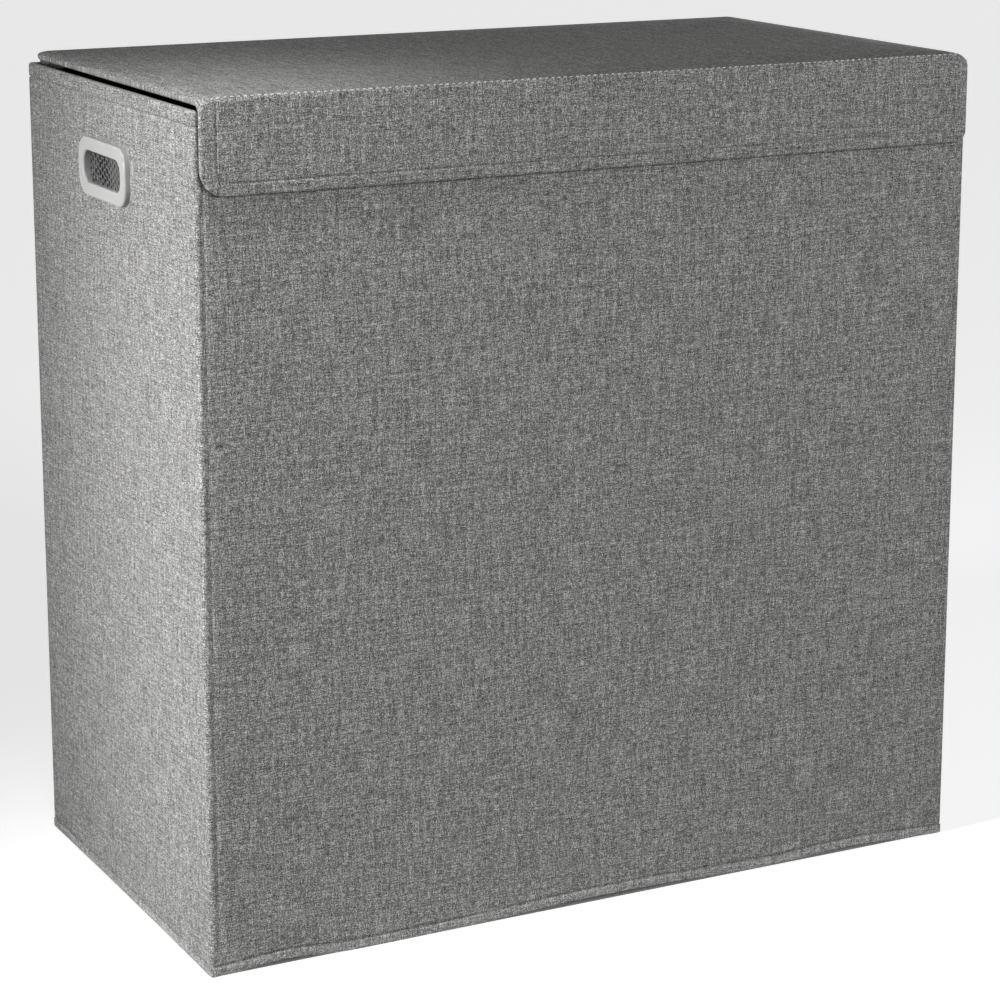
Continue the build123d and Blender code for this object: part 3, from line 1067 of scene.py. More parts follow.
@dataclass
class BoxLining:
    """The box's lining: a sleeve on the inner faces of the boards, over a cloth floor."""

    finishes: Finishes
    outer: BoxCloth
    cloth: float = 0.6 * MM

    def build(self) -> None:
        """Make the lining sleeve and the floor cloth."""
        high, side_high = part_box("front_lining")[1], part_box("left_lining")[1]
        width, depth = 2 * abs(side_high.x), 2 * abs(high.y)
        floor_low, floor_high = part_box("floor_cloth")
        hole = self.outer.hole
        walk = Walk(width, depth, 3 * MM, 9 * MM, side_marks=(-hole.y, hole.y))
        marks = [self.outer.hole_height + hole.z, self.outer.hole_height - hole.z]
        places = stations(high.z - floor_high.z, 12 * MM, (), [high.z - m for m in marks])
        rows = [(0.0, high.z - p) for p in places]

        def shape(walked: Walked, out: float, height: float) -> tuple[Array, Array]:
            """Let the lining lie a little uneven on its board."""
            ring, quiet = ring_at(walked, height), np.clip(walked["gap"] / self.outer.fade, 0, 1)
            return wander(ring, 80 * MM, 3.0) * 0.25 * MM * quiet, ring[:, 2]

        cloth = sleeve(walk, rows, shape, skip=self.outer.in_hole, flip=True)
        piece = cloth.to_object("box_lining", self.finishes.lining, "lining_cloth")
        thicken(piece, self.cloth)
        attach(piece, "box")
        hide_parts(*[f"{side.name.lower()}_lining" for side in Side])
        across = stations(floor_high.x - floor_low.x, 14 * MM)
        back = stations(floor_high.y - floor_low.y, 14 * MM)
        x, y = np.meshgrid(across + floor_low.x, back + floor_low.y)
        sag = (wander_flat(x, y, 90 * MM, 5.0) - 1) * 0.12 * MM
        points = np.stack([x, y, floor_high.z + sag], -1)
        floor = grid_cloth(points, np.stack([x, y], -1))
        piece = floor.to_object("floor_lining", self.finishes.lining, "lining_cloth")
        thicken(piece, 0.7 * MM)
        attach(piece, "box")
        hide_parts("floor_cloth")


# ---------------------------------------------------------------- lid, flap and base


@dataclass(frozen=True)
class Panel:
    """The flat outline of a covered board, with round corners, and the soft section of its edges."""

    width: float
    length: float
    back_corner: float
    front_corner: float
    right_corner: float | None = None  # the front right one, where it isn't as the left one
    step: float = 8 * MM
    near: tuple[float, ...] = tuple(
        n * MM
        for n in (0.15, 0.5, 1.1, 1.9, 3.0, 4.4, 5.9, 7.2, 8.2, 8.6)
        + (9.0, 9.4, 9.8, 10.7, 11.1, 11.5, 11.9, 12.3, 13.5)
    )
    squareness: float = 2.5  # power of the edge's section: 2 is a half round, more is squarer

    def place(self, x: Array, v: Array) -> tuple[Array, Array, Array]:
        """Move square grid places so that the corners come out round.

        Args:
            x: distances from the left edge.
            v: distances from the back edge.

        Returns:
            The moved distances, and how far in from the outline each place is.
        """
        p, q = np.minimum(x, self.width - x), np.minimum(v, self.length - v)
        front = np.where(x > self.width / 2, self.right_corner or self.front_corner, self.front_corner)
        r = np.where(v < self.length / 2, self.back_corner, front)
        a, b = np.maximum(r - p, 0), np.maximum(r - q, 0)
        cornered = (a > 0) & (b > 0)
        big, small = np.maximum(a, b), np.minimum(a, b)
        turn = math.pi / 4 * small / np.maximum(big, 1e-9)
        far, little = big * np.cos(turn), big * np.sin(turn)
        new_p = np.where(cornered, r - np.where(a >= b, far, little), p)
        new_q = np.where(cornered, r - np.where(a >= b, little, far), q)
        inset = np.where(cornered, r - big, np.minimum(p, q))
        new_x = np.where(x < self.width / 2, new_p, self.width - new_p)
        new_v = np.where(v < self.length / 2, new_q, self.length - new_q)
        return new_x, new_v, inset

    def cover(
        self,
        lay: Callable[[Array, Array, Array, Array], Array],
        edge: Callable[[Array], Array],
        marks: Sequence[float] = (),
        under: float | None = None,
        ends: Callable[[Array], Array] | None = None,
        across_marks: Sequence[float] = (),
    ) -> Cloth:
        """Cover the board with cloth, over its face, round its edges and under.

        Args:
            lay: turns x, v, drop below the face and inset into points.
            edge: gives half the board's thickness at each v.
            marks: values of v that get a row of their own.
            under: how far in the cloth goes on the under side; all the way if None.
            ends: gives how far in the face starts to round down to the left and right ends, at each v.
            across_marks: values of x that get a column of their own.

        Returns:
            The cover, with its two sides meeting at the outline.
        """
        across = stations(self.width, self.step, self.near, across_marks)
        along = stations(self.length, self.step, self.near, marks)
        grid_x, grid_v = np.meshgrid(across, along)
        x, v, inset = self.place(grid_x, grid_v)
        half = edge(v)
        share = np.clip(inset / half, 0, 1)
        swell = half * (1 - (1 - share) ** self.squareness) ** (1 / self.squareness)
        metres = np.stack([x, -v], -1)
        rise = swell
        if ends:
            near_end = np.clip(np.minimum(x, self.width - x) / ends(v), 0, 1)
            rise = np.minimum(swell, half * np.sqrt(1 - (1 - near_end) ** 2))
        top = grid_cloth(lay(x, v, half - rise, inset), metres, flip=True)
        bottom = grid_cloth(lay(x, v, half + swell, inset), metres)
        if under is not None:
            deep = (inset > under).ravel()
            kept = [not all(deep[i] for i in face) for face in bottom.faces]
            bottom.faces = [face for face, keep in zip(bottom.faces, kept) if keep]
            bottom.corners = bottom.corners.reshape(-1, 4, 2)[kept].reshape(-1, 2)
        return top.joined(bottom)

    def seam_radius(self, front: float) -> float:
        """Give the radius of a seam's corners, so many metres in from the front edge."""
        return max(self.front_corner - front, 3 * MM)

    def seam_gap(self, x: Array, v: Array, side: float, front: float) -> Array:
        """Measure how far each place is from a seam that follows the outline.

        Args:
            x: distance from the left edge.
            v: distance from the back edge.
            side: how far in from the left and right edges the seam is.
            front: how far in from the front edge it is.

        Returns:
            The distances, less than 0 on the panel's side of the seam.
        """
        radius = self.seam_radius(front)
        across = np.abs(x - self.width / 2) - (self.width / 2 - side - radius)
        along = v - (self.length - front - radius)
        outer = np.hypot(np.maximum(across, 0), np.maximum(along, 0))
        return outer + np.minimum(np.maximum(across, along), 0) - radius

    def line(self, side: float, front: float, start: float) -> tuple[Array, Array]:
        """Follow that seam, down the left, across the front and up the right.

        Args:
            side: how far in from the left and right edges the seam is.
            front: how far in from the front edge it is.
            start: distance from the back edge where it starts and ends.

        Returns:
            The line's x and v.
        """
        radius = self.seam_radius(front)
        centre = self.length - front - radius
        turns = np.linspace(0, math.pi / 2, 9)
        down = np.linspace(start, centre, 12)[:-1]
        x = np.concatenate([np.full(len(down), side), side + radius * (1 - np.cos(turns))])
        v = np.concatenate([down, centre + radius * np.sin(turns)])
        return np.concatenate([x, self.width - x[::-1]]), np.concatenate([v, v[::-1]])


def tidy_mesh(piece: Piece) -> Piece:
    """Weld a piece's doubled points and drop the loose ones.

    Args:
        piece: the object.

    Returns:
        The same object.
    """
    work = bmesh.new()
    work.from_mesh(piece.data)
    bmesh.ops.remove_doubles(work, verts=work.verts, dist=2e-6)
    loose = [v for v in work.verts if not v.link_faces]
    bmesh.ops.delete(work, geom=loose, context="VERTS")
    bmesh.ops.recalc_face_normals(work, faces=work.faces)
    work.to_mesh(piece.data)
    work.free()
    return piece


def swell_cloth(piece: Piece, held: Array, pressure: float, cap: float) -> None:
    """Let a cloth rise over its filling by a short simulation, and keep where it ends.

    Args:
        piece: the cloth, not yet on a body.
        held: True for each point that stays where it is.
        pressure: the filling's push.
        cap: the furthest that a point may move, in metres.
    """
    frames = 16
    group = piece.vertex_groups.new(name="held")
    group.add([int(i) for i in np.flatnonzero(held)], 1.0, "REPLACE")
    cloth = piece.modifiers.new("filling", "CLOTH")
    settings = cloth.settings
    settings.quality = 5
    settings.mass = 0.3
    settings.tension_stiffness = settings.compression_stiffness = 40
    settings.bending_stiffness = 5
    settings.vertex_group_mass = group.name
    settings.use_pressure = True
    settings.uniform_pressure_force = pressure
    settings.effector_weights.gravity = 0
    cloth.point_cache.frame_start, cloth.point_cache.frame_end = 1, frames
    rest = np.array([v.co for v in piece.data.vertices])
    scene = bpy.context.scene
    for number in range(1, frames + 1):
        scene.frame_set(number)
    graph = bpy.context.evaluated_depsgraph_get()
    moved = np.array([v.co for v in piece.evaluated_get(graph).data.vertices])
    scene.frame_set(1)
    piece.modifiers.clear()
    piece.vertex_groups.clear()
    shift = moved - rest
    length = np.linalg.norm(shift, axis=1, keepdims=True)
    shift *= cap * np.tanh(length / cap) / np.maximum(length, 1e-9)
    piece.data.vertices.foreach_set("co", (rest + shift).astype(np.float32).ravel())
    piece.data.update()
    log.info("%s: cloth rose %.1f mm at most", piece.name, float(np.abs(shift).max()) / MM)


@dataclass
class LidCloth:
    """Lid and flap in one cloth: padded over the lid's board, folded down over its edge as the flap."""

    finishes: Finishes
    crease_radius: float = 3.0 * MM
    pinch: float = 1.35 * MM  # half the cloth's thickness at the crease, where there is no board
    turn_under: float = 7.0 * MM
    crown: float = 1.5 * MM
    side_seam: float = 11.5 * MM  # from the flap's ends to its row of stitches
    foot_seam: float = 9.0 * MM  # from its lower edge
    seam_depth: float = 1.0 * MM
    end_round: float = 14.0 * MM  # where the padding starts to round down to the lid's ends
    end_fall: float = 8.0 * MM  # how far the crease comes down there
    pucker_start: tuple[float, float] = (8.0 * MM, 3.0 * MM)  # from the flap's lower right corner
    pucker_turn: float = 47.0  # in degrees, from level
    pucker_length: float = 22.0 * MM
    pucker_half: float = 0.9 * MM
    pucker_depth: float = 1.5 * MM
    cloth: float = 0.7 * MM

    def __post_init__(self) -> None:
        """Read the lid's and the flap's sizes from the frame."""
        self.low, self.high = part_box("lid_cover")
        self.flap_low, self.flap_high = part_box("flap_cover")
        lining_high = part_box("flap_lining")[1]
        self.flap_half = (lining_high.y - self.flap_low.y) / 2
        self.lid_half = (self.high.z - self.low.z) / 2
        self.centre_y = self.low.y + self.crease_radius
        self.centre_z = self.high.z - self.crease_radius
        self.top_length = self.high.y - self.centre_y
        self.bend = math.pi / 2 * self.crease_radius
        self.width = self.high.x - self.low.x
        self.panel = Panel(
            self.width,
            self.top_length + self.bend + self.centre_z - self.flap_low.z,
            5 * MM,
            19 * MM,
            9 * MM,
        )
        self.start = Vector((0, self.centre_y + 6 * MM, self.high.z))
        self.end = Vector((0, self.low.y, self.centre_z - 6 * MM))

    def half(self, v: Array) -> Array:
        """Give half the panel's thickness, which is least at the crease.

        Args:
            v: distances from the back edge.

        Returns:
            Half the thickness at each.
        """
        lid = np.clip((self.top_length - v) / (12 * MM), 0, 1)
        flap = np.clip((v - self.top_length - self.bend) / (10 * MM), 0, 1)
        rise = (self.lid_half - self.pinch) * np.sin(lid * math.pi / 2)
        return self.pinch + rise + (self.flap_half - self.pinch) * np.sin(flap * math.pi / 2)

    def ends(self, v: Array) -> Array:
        """Give how far in the cloth starts to round down to the lid's ends, less on the thin flap."""
        flap = np.clip((v - self.top_length) / (12 * MM), 0, 1)
        return self.end_round + (self.flap_half - self.end_round) * flap

    def pucker(self, x: Array, v: Array) -> Array:
        """Draw the small fold that runs into the flap's lower right corner.

        Args:
            x: distances from the left edge.
            v: distances from the back edge.

        Returns:
            The fold's depth at each place.
        """
        across, up = self.width - x - self.pucker_start[0], self.panel.length - v - self.pucker_start[1]
        turn = math.radians(self.pucker_turn)
        along = (across * math.cos(turn) + up * math.sin(turn)) / self.pucker_length
        aside = across * math.sin(turn) - up * math.cos(turn)
        reach = np.clip(along * 8 + 1, 0, 1) * np.clip(1 - along, 0, 1) ** 0.6
        return slot(aside, self.pucker_half, self.pucker_depth) * reach

    def end_drop(self, x: Array, v: Array) -> Array:
        """Round the crease, and the cloth by it, down at the lid's ends.

        Args:
            x: distances from the left edge.
            v: distances from the back edge.

        Returns:
            How far each place comes down.
        """
        share = np.clip(1 - np.minimum(x, self.width - x) / self.end_round, 0, 1)
        fall = self.end_fall * (1 - np.sqrt(1 - share**2))
        before = np.maximum(self.top_length - v, 0) / (4 * MM)
        past = np.maximum(v - self.top_length - self.bend, 0) / (12 * MM)
        return fall * np.exp(-before - past)

    def lay(self, x: Array, v: Array, drop: Array, inset: Array) -> Array:
        """Lay flat places over the lid, round the crease and down the flap.

        Args:
            x: distance from the left edge.
            v: distance from the back edge, along the cloth.
            drop: depth below the outer face.
            inset: distance in from the outline.

        Returns:
            The points.
        """
        on_flap = np.clip((v - self.top_length - self.bend) / (5 * MM), 0, 1)
        outer = drop < self.half(v)
        seam = self.panel.seam_gap(x, v, self.side_seam, self.foot_seam)
        cut = slot(seam, 0.8 * MM, self.seam_depth) * on_flap + self.pucker(x, v)
        soft = wander_flat(x, v, 85 * MM, 2.0) * 0.25 * MM
        fade = np.clip(inset / (30 * MM), 0, 1)
        drop = drop + np.where(outer, cut - soft * fade, 0)
        turn = np.clip((v - self.top_length) / self.crease_radius, 0, math.pi / 2)
        reach = self.crease_radius - drop
        past = np.maximum(v - self.top_length - self.bend, 0)
        before = np.maximum(self.top_length - v, 0)
        y = self.centre_y - reach * np.sin(turn) + before
        z = self.centre_z + reach * np.cos(turn) - past - self.end_drop(x, v)
        return np.stack([x + self.low.x, y, z], -1)

    def build(self) -> None:
        """Make the lid and flap cloth, its stitches and its lining."""
        fine = np.arange(14.6, 29.0, 1.1) * MM  # for the fold by the flap's lower right corner
        marks = list(self.top_length + np.linspace(-0.8, 1.8, 9) * self.bend)
        marks += list(self.panel.length - fine)
        columns = list(self.width - fine)
        cover = self.panel.cover(self.lay, self.half, marks, self.turn_under, self.ends, columns)
        piece = tidy_mesh(cover.to_object("lid_and_flap_cloth", self.finishes.linen, "linen_cloth"))
        points = np.array([v.co for v in piece.data.vertices])
        edge = np.minimum(self.high.x - np.abs(points[:, 0]), self.high.y - points[:, 1])
        edge = np.minimum(edge, points[:, 1] - self.low.y)
        held = (edge < 9 * MM) | (points[:, 2] < self.high.z - 2 * MM)
        swell_cloth(piece, held, 4.0, self.crown)
        thicken(piece, self.cloth)
        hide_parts("lid_cover", "flap_cover", "lid_pad")
        blended(piece)
        self.sew()
        self.line()

    def sew(self) -> None:
        """Stitch along the crease and round the flap."""
        thread = Seam(4.8 * MM, 2.6 * MM, 0.65 * MM)
        x = np.linspace(6 * MM, self.width - 6 * MM, 90)
        v = np.full_like(x, self.top_length + 0.45 * self.bend)
        turn = 0.45 * math.pi / 2
        path = self.lay(x, v, np.zeros_like(x), np.full_like(x, 60 * MM))
        out = np.array([0, -math.sin(turn), math.cos(turn)])
        crease = thread.sew(path, out).to_object("crease_stitches", self.finishes.thread, "linen_cloth")
        blended(crease)
        x, v = self.panel.line(self.side_seam, self.foot_seam, self.top_length + self.bend + 9 * MM)
        path = self.lay(x, v, np.full_like(x, -0.05 * MM), np.full_like(x, self.foot_seam))
        fine = Seam(4.5 * MM, 3.0 * MM, 0.3 * MM).sew(path, np.array([0.0, -1.0, 0.0]))
        edge = fine.to_object("flap_stitches", self.finishes.grey_thread, "linen_cloth")
        blended(edge)

    def line(self) -> None:
        """Sew the lining on the under side of the lid and the inner side of the flap."""
        proud, inset, bend = 0.25 * MM, 4.5 * MM, 2.5 * MM
        lining_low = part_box("lid_lining")[0]
        flap_low, flap_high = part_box("flap_lining")
        level, face = lining_low.z - proud, flap_high.y + proud
        back = self.high.y - inset
        turn_y = face + bend
        flat = np.linspace(back, turn_y, 44)
        arc = np.linspace(0, math.pi / 2, 7)[1:]
        fall = np.linspace(level - bend, flap_low.z + inset, 10)[1:]
        y = np.concatenate([flat, turn_y - bend * np.sin(arc), np.full(len(fall), face)])
        z = np.concatenate([np.full(len(flat), level), level - bend * (1 - np.cos(arc)), fall])
        across = stations(self.width - 2 * inset, 9 * MM)
        run = np.concatenate([[0], np.cumsum(np.hypot(np.diff(y), np.diff(z)))])
        shape = Panel(self.width - 2 * inset, float(run[-1]), 5 * MM, 14 * MM)
        grid_x, grid_v = np.meshgrid(across, run)
        x, v, _ = shape.place(grid_x, grid_v)
        points = np.stack([x + self.low.x + inset, np.interp(v, run, y), np.interp(v, run, z)], -1)
        sag = wander(points.reshape(-1, 3), 70 * MM, 6.0).reshape(x.shape)
        points[..., 2] += np.where(points[..., 1] > turn_y, sag * 0.2 * MM, 0)
        cloth = grid_cloth(points, np.stack([x, -v], -1))
        piece = cloth.to_object("lid_and_flap_lining", self.finishes.lining, "lining_cloth")
        thicken(piece, 0.5 * MM)
        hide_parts("lid_lining", "flap_lining")
        blended(piece)


@dataclass
class RearHinge:
    """The cloth hinge: sewn on the box's back, rolled over its rim and sewn under the lid's back edge."""

    finishes: Finishes
    cloth: float = 0.8 * MM

    def build(self) -> None:
        """Make the hinge cloth and its stitches."""
        low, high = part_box("hinge_tape")
        strip_low, strip_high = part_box("lid_hinge_strip")
        wall = low.y + 1.0 * MM
        route = [
            (wall, low.z + 0.5 * MM),
            (wall + 0.1 * MM, low.z + 20 * MM),
            (wall + 0.2 * MM, high.z - 11 * MM),
            (wall + 0.7 * MM, high.z - 6 * MM),
            (high.y - 0.3 * MM, high.z - 2.2 * MM),
            (high.y - 0.2 * MM, high.z - 0.4 * MM),
            (high.y - 1.3 * MM, strip_high.z + 0.2 * MM),
            (strip_high.y + 1.0 * MM, strip_high.z + 0.6 * MM),
            (strip_low.y + 4 * MM, strip_high.z + 0.5 * MM),
            (strip_low.y - 1.0 * MM, strip_high.z + 0.9 * MM),
        ]
        points, metres = draped(route, stations(high.x - low.x, 9 * MM) + low.x)
        ease = wander(points.reshape(-1, 3), 45 * MM, 8.0).reshape(points.shape[:2])
        points[..., 1] += np.where(points[..., 2] < high.z - 12 * MM, ease * 0.15 * MM, 0)
        cloth = grid_cloth(points, metres, flip=True)
        piece = cloth.to_object("rear_hinge_cloth", self.finishes.linen, "linen_cloth")
        thicken(piece, self.cloth)
        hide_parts("hinge_tape", "lid_hinge_strip")
        blended(piece)
        edges = np.linspace(low.x + 3 * MM, high.x - 3 * MM, 60)
        thread = Seam(thread=0.35 * MM)
        rows = []
        for height in (low.z + 3 * MM, low.z + 9 * MM):
            line = [(x, wall + 0.3 * MM, height) for x in edges]
            rows.append(thread.sew(np.array(line), np.array([0.0, 1.0, 0.0])))
        sewn(rows, "rear_hinge_stitches", self.finishes.thread, "linen_cloth", "box")


@dataclass
class FoldingBase:
    """The stiff base: a board in a cloth cover, hinged on the back wall, with a webbing pull."""

    finishes: Finishes
    groove: float = 9.0 * MM

    def build(self) -> None:
        """Make the cover, the hinge cloth, the pull and their stitches."""
        low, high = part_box("base_cover")
        half = (high.z - low.z) / 2
        panel = Panel(high.x - low.x, high.y - low.y, 4 * MM, 6 * MM, step=10 * MM)

        def lay(x: Array, v: Array, drop: Array, inset: Array) -> Array:
            """Lay the cover flat, with a groove where it is stitched.

            Args:
                x: distance from the left edge.
                v: distance from the back edge.
                drop: depth below the upper face.
                inset: distance in from the outline.

            Returns:
                The points.
            """
            seam = panel.seam_gap(x, v, self.groove, self.groove)
            cut = slot(seam, 0.8 * MM, 0.4 * MM)
            soft = (wander_flat(x, v, 80 * MM, 9.0) + 1) * 0.08 * MM
            drop = drop + np.where(drop < half, cut + soft * np.clip(inset / (20 * MM), 0, 1), 0)
            return np.stack([low.x + x, high.y - v, high.z - drop], -1)

        cover = panel.cover(lay, lambda v: np.full_like(v, half))
        piece = tidy_mesh(cover.to_object("base_cloth", self.finishes.lining, "lining_cloth"))
        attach(piece, "base")
        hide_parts("base_cover")
        x, v = panel.line(self.groove, self.groove, 20 * MM)
        path = lay(x, v, np.full_like(x, -0.05 * MM), np.full_like(x, self.groove))
        seam = Seam(thread=0.35 * MM).sew(path, np.array([0.0, 0.0, 1.0]))
        sewn([seam], "base_stitches", self.finishes.thread, "lining_cloth", "base")
        self.hinge()
        self.pull()

    def hinge(self) -> None:
        """Make the cloth that joins the base to the back wall."""
        tape_low, tape_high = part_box("base_tape")
        wall = tape_low.y + 0.25 * MM
        route = [
            (wall, tape_high.z - 0.5 * MM),
            (wall, tape_low.z + 8 * MM),
            (wall - 0.1 * MM, tape_low.z + 3 * MM),
            (wall - 2.5 * MM, tape_low.z + 1.0 * MM),
            (wall - 9 * MM, tape_low.z + 0.7 * MM),
            (wall - 24 * MM, tape_low.z + 0.65 * MM),
        ]
        across = stations(tape_high.x - tape_low.x - 8 * MM, 10 * MM) + tape_low.x + 4 * MM
        cloth = grid_cloth(*draped(route, across))
        piece = cloth.to_object("base_hinge_cloth", self.finishes.lining, "lining_cloth")
        thicken(piece, 0.5 * MM)
        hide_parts("base_tape")
        blended(piece)

    def pull(self) -> None:
        """Make the webbing pull, with a box of stitches at its ends."""
        low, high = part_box("base_pull")
        middle = (low.x + high.x) / 2
        width, thickness = high.x - low.x, high.z - low.z
        shares = np.linspace(0, 1, 21)
        lift = np.sin(shares * math.pi) ** 2 * 0.8 * MM
        level = low.z + thickness * 0.45
        path = [Vector((middle, low.y + s * (high.y - low.y), level + h)) for s, h in zip(shares, lift)]
        tape = ribbon(path, [Vector((1, 0, 0))] * len(path), width, thickness * 0.8)
        piece = tape.to_object("base_pull_webbing", self.finishes.webbing, "black_webbing")
        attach(piece, "base")
        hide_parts("base_pull")
        face = level + thickness * 0.42
        box = [(-9, 0), (9, 0), (9, 12), (-9, 12), (-9, 0), (9, 12)]  # millimetres, with one diagonal
        seams = []
        for start in (low.y + 3 * MM, high.y - 15 * MM):
            points = np.array([(middle + a * MM, start + b * MM, face) for a, b in box])
            seams.append(Seam(3 * MM, 2.2 * MM, 0.5 * MM).sew(points, np.array([0.0, 0.0, 1.0])))
        sewn(seams, "base_pull_stitches", self.finishes.black_thread, "black_webbing", "base")


# ---------------------------------------------------------------- bags


@dataclass
class NetBag:
    """One lift-out bag: a net body that hangs from a bound collar, held on tapes, with two webbing loops."""

    finishes: Finishes
    side: str
    corner: float = 25.0 * MM
    foot: float = 1.8 * MM  # height of the binding's middle over the bag's lowest level
    soft: float = 16.0 * MM  # height of the rounded foot
    upright: float = 6.0 * MM  # how much less than that the foot comes in
    binding_radius: float = 1.3 * MM
    keep: float = 0.4  # share of the bag's height that is left when the base is folded up

    def __post_init__(self) -> None:
        """Read the bag's place from the frame."""
        self.low, self.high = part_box(f"{self.side}_bag")
        self.collar_low, self.collar_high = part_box(f"{self.side}_collar")
        self.middle = (self.low + self.high) / 2
        self.width = self.high.x - self.low.x
        self.depth = self.high.y - self.low.y
        self.reach = self.soft - self.upright

    def outline(self, width: float, depth: float, corner: float, step: float) -> Walk:
        """Give a round of the bag at a size of its own, with finely drawn corners."""
        return Walk(width, depth, corner, step, middle=(self.middle.x, self.middle.y), corner_steps=7)

    def folded(self, piece: Piece) -> Piece:
        """Put a piece of the bag on the box's body, with a mesh of its own."""
        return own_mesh(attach(piece, "box"))

    def hang(self, points: Array, gap: Array) -> Array:
        """Find how far the net hangs in from its plain outline.

        Args:
            points: places on the plain bag.
            gap: distance to the nearer corner.

        Returns:
            The distance inwards, in metres.
        """
        depth = (self.high.z - points[:, 2]) / (self.high.z - self.low.z)
        flat = np.clip(gap / (60 * MM), 0, 1)
        stretched = points * np.array([1, 1, 0.28])
        folds = wander(stretched, 42 * MM, 11.0 if self.side == "left" else 12.0)
        slack = np.clip((depth - 0.10) / 0.3, 0, 1)
        ease = np.clip((points[:, 2] - self.low.z) / (25 * MM), 0, 1)
        return (1.5 + 5.5 * flat * np.sin(np.clip(depth, 0, 1) * math.pi) + 2.6 * folds) * MM * slack * ease

    def body(self) -> Cloth:
        """Make the net's walls, down to the binding round its foot.

        Returns:
            The walls.
        """
        foot, soft, reach = self.foot, self.soft, self.reach
        places = stations(self.high.z - self.low.z - soft, 12 * MM)
        rows = [(0.0, self.high.z - p) for p in places]
        arcs = np.linspace(0, math.pi / 2, 6)[1:]
        rows += [
            (-reach * (1 - math.cos(a)), self.low.z + foot + (soft - foot) * (1 - math.sin(a))) for a in arcs
        ]

        def shape(walked: Walked, out: float, height: float) -> tuple[Array, Array]:
            """Let a row of the net hang in."""
            ring = ring_at(walked, height)
            return out - self.hang(ring, walked["gap"]), ring[:, 2]

        return sleeve(self.outline(self.width, self.depth, self.corner, 8 * MM), rows, shape)

    def bottom(self) -> Cloth:
        """Make the net's bottom, which lies a little uneven on the base.

        Returns:
            The bottom.
        """
        corner = self.corner - self.reach
        panel = Panel(self.width - 2 * self.reach, self.depth - 2 * self.reach, corner, corner, 12 * MM)
        across = stations(panel.width, panel.step)
        along = stations(panel.length, panel.step)
        x, v, inset = panel.place(*np.meshgrid(across, along))
        rise = (wander_flat(x, v, 60 * MM, 13.0) + 1) * 0.6 * MM
        quiet = np.clip(inset / (15 * MM), 0, 1)
        x_place = self.middle.x - panel.width / 2 + x
        y_place = self.middle.y + panel.length / 2 - v
        height = self.low.z + self.foot + (rise - self.foot + 0.4 * MM) * quiet
        return grid_cloth(np.stack([x_place, y_place, height], -1), np.stack([x, -v], -1), flip=True)

    def build(self) -> None:
        """Make the bag, its collar, its loops and its tapes."""
        whole = self.body().joined(self.bottom())
        net = whole.to_object(f"{self.side}_bag_net", self.finishes.net, "black_mesh")
        self.folded(net)
        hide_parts(f"{self.side}_bag")
        piece = self.binding().to_object(f"{self.side}_bag_binding", self.finishes.collar, "collar_cloth")
        self.folded(piece)
        self.collar()
        for end in ("front", "back"):
            self.loop(end)
            self.tapes(end)

    def binding(self) -> Cloth:
        """Make the round binding where the net's walls and bottom meet.

        Returns:
            The binding.
        """
        less, radius, height = 2 * self.reach, self.binding_radius, self.low.z + self.foot
        walk = self.outline(self.width - less, self.depth - less, self.corner - self.reach, 12 * MM)
        turns = np.linspace(0, math.tau, 9)
        rows = [(radius * math.cos(a), height + radius * math.sin(a)) for a in turns]
        return sleeve(walk, rows, lambda w, out, h: (np.full(len(w["run"]), out), np.full(len(w["run"]), h)))

    def collar(self) -> None:
        """Make the collar: a flat band with a bead at its top that holds the spring wire."""
        low, high = self.collar_low, self.collar_high
        bead = 3.0 * MM
        band = 1.3 * MM
        walk = self.outline(high.x - low.x, high.y - low.y, self.corner, 8 * MM)
        foot, neck = low.z - 1.5 * MM, high.z - 2 * bead
        rows = [(0.0, foot), (0.1 * MM, foot + 3 * MM)]
        rows += [(0.0, foot + s * (neck - foot)) for s in (0.35, 0.6, 0.8)]
        rows += [(-0.35 * MM, neck - 1.0 * MM), (-0.5 * MM, neck + 0.1 * MM)]
        for a in np.linspace(-0.30 * math.pi, 1.28 * math.pi, 12):
            rows.append((-bead + bead * math.cos(a), high.z - bead + bead * math.sin(a)))
        rows += [(-band - 0.6 * MM, neck), (-band - 0.3 * MM, neck - 1.2 * MM)]
        rows += [(-band, foot + s * (neck - foot)) for s in (0.8, 0.6, 0.35)]
        rows += [(-band - 0.1 * MM, foot + 3 * MM), (-band, foot), (0.0, foot)]

        def shape(walked: Walked, out: float, height: float) -> tuple[Array, Array]:
            """Let the band ripple slightly where it is sewn.

            Args:
                walked: the walked outline.
                out: the row's plain distance out.
                height: its height.

            Returns:
                The distance out and the height of each column.
            """
            ring = ring_at(walked, 0.0)
            wave = wander(ring, 24 * MM, 14.0) * 0.22 * MM * np.clip((neck - height) / (10 * MM), 0, 1)
            inwards = -np.abs(wave) if out > -band / 2 else wave * 0.6
            return out + inwards, np.full(len(ring), height)

        cloth = sleeve(walk, rows, shape)
        piece = cloth.to_object(f"{self.side}_collar_cloth", self.finishes.collar, "collar_cloth")
        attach(tidy_mesh(piece), "box")
        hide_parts(f"{self.side}_collar")
        walked = walk.round()
        out = np.column_stack([walked["out"], np.zeros(len(walked["run"]))])
        seams = []
        for height in (neck - 2.2 * MM, foot + 4 * MM):
            plan = walk.offset(walked, np.full(len(out), -(band + 0.25 * MM)))
            line = np.column_stack([plan, np.full(len(out), height)])
            seams.append(Seam(5 * MM, 3.4 * MM, 0.5 * MM).sew(line, -out))
        name = f"{self.side}_collar_stitches"
        sewn(seams, name, self.finishes.black_thread, "collar_cloth", "box")

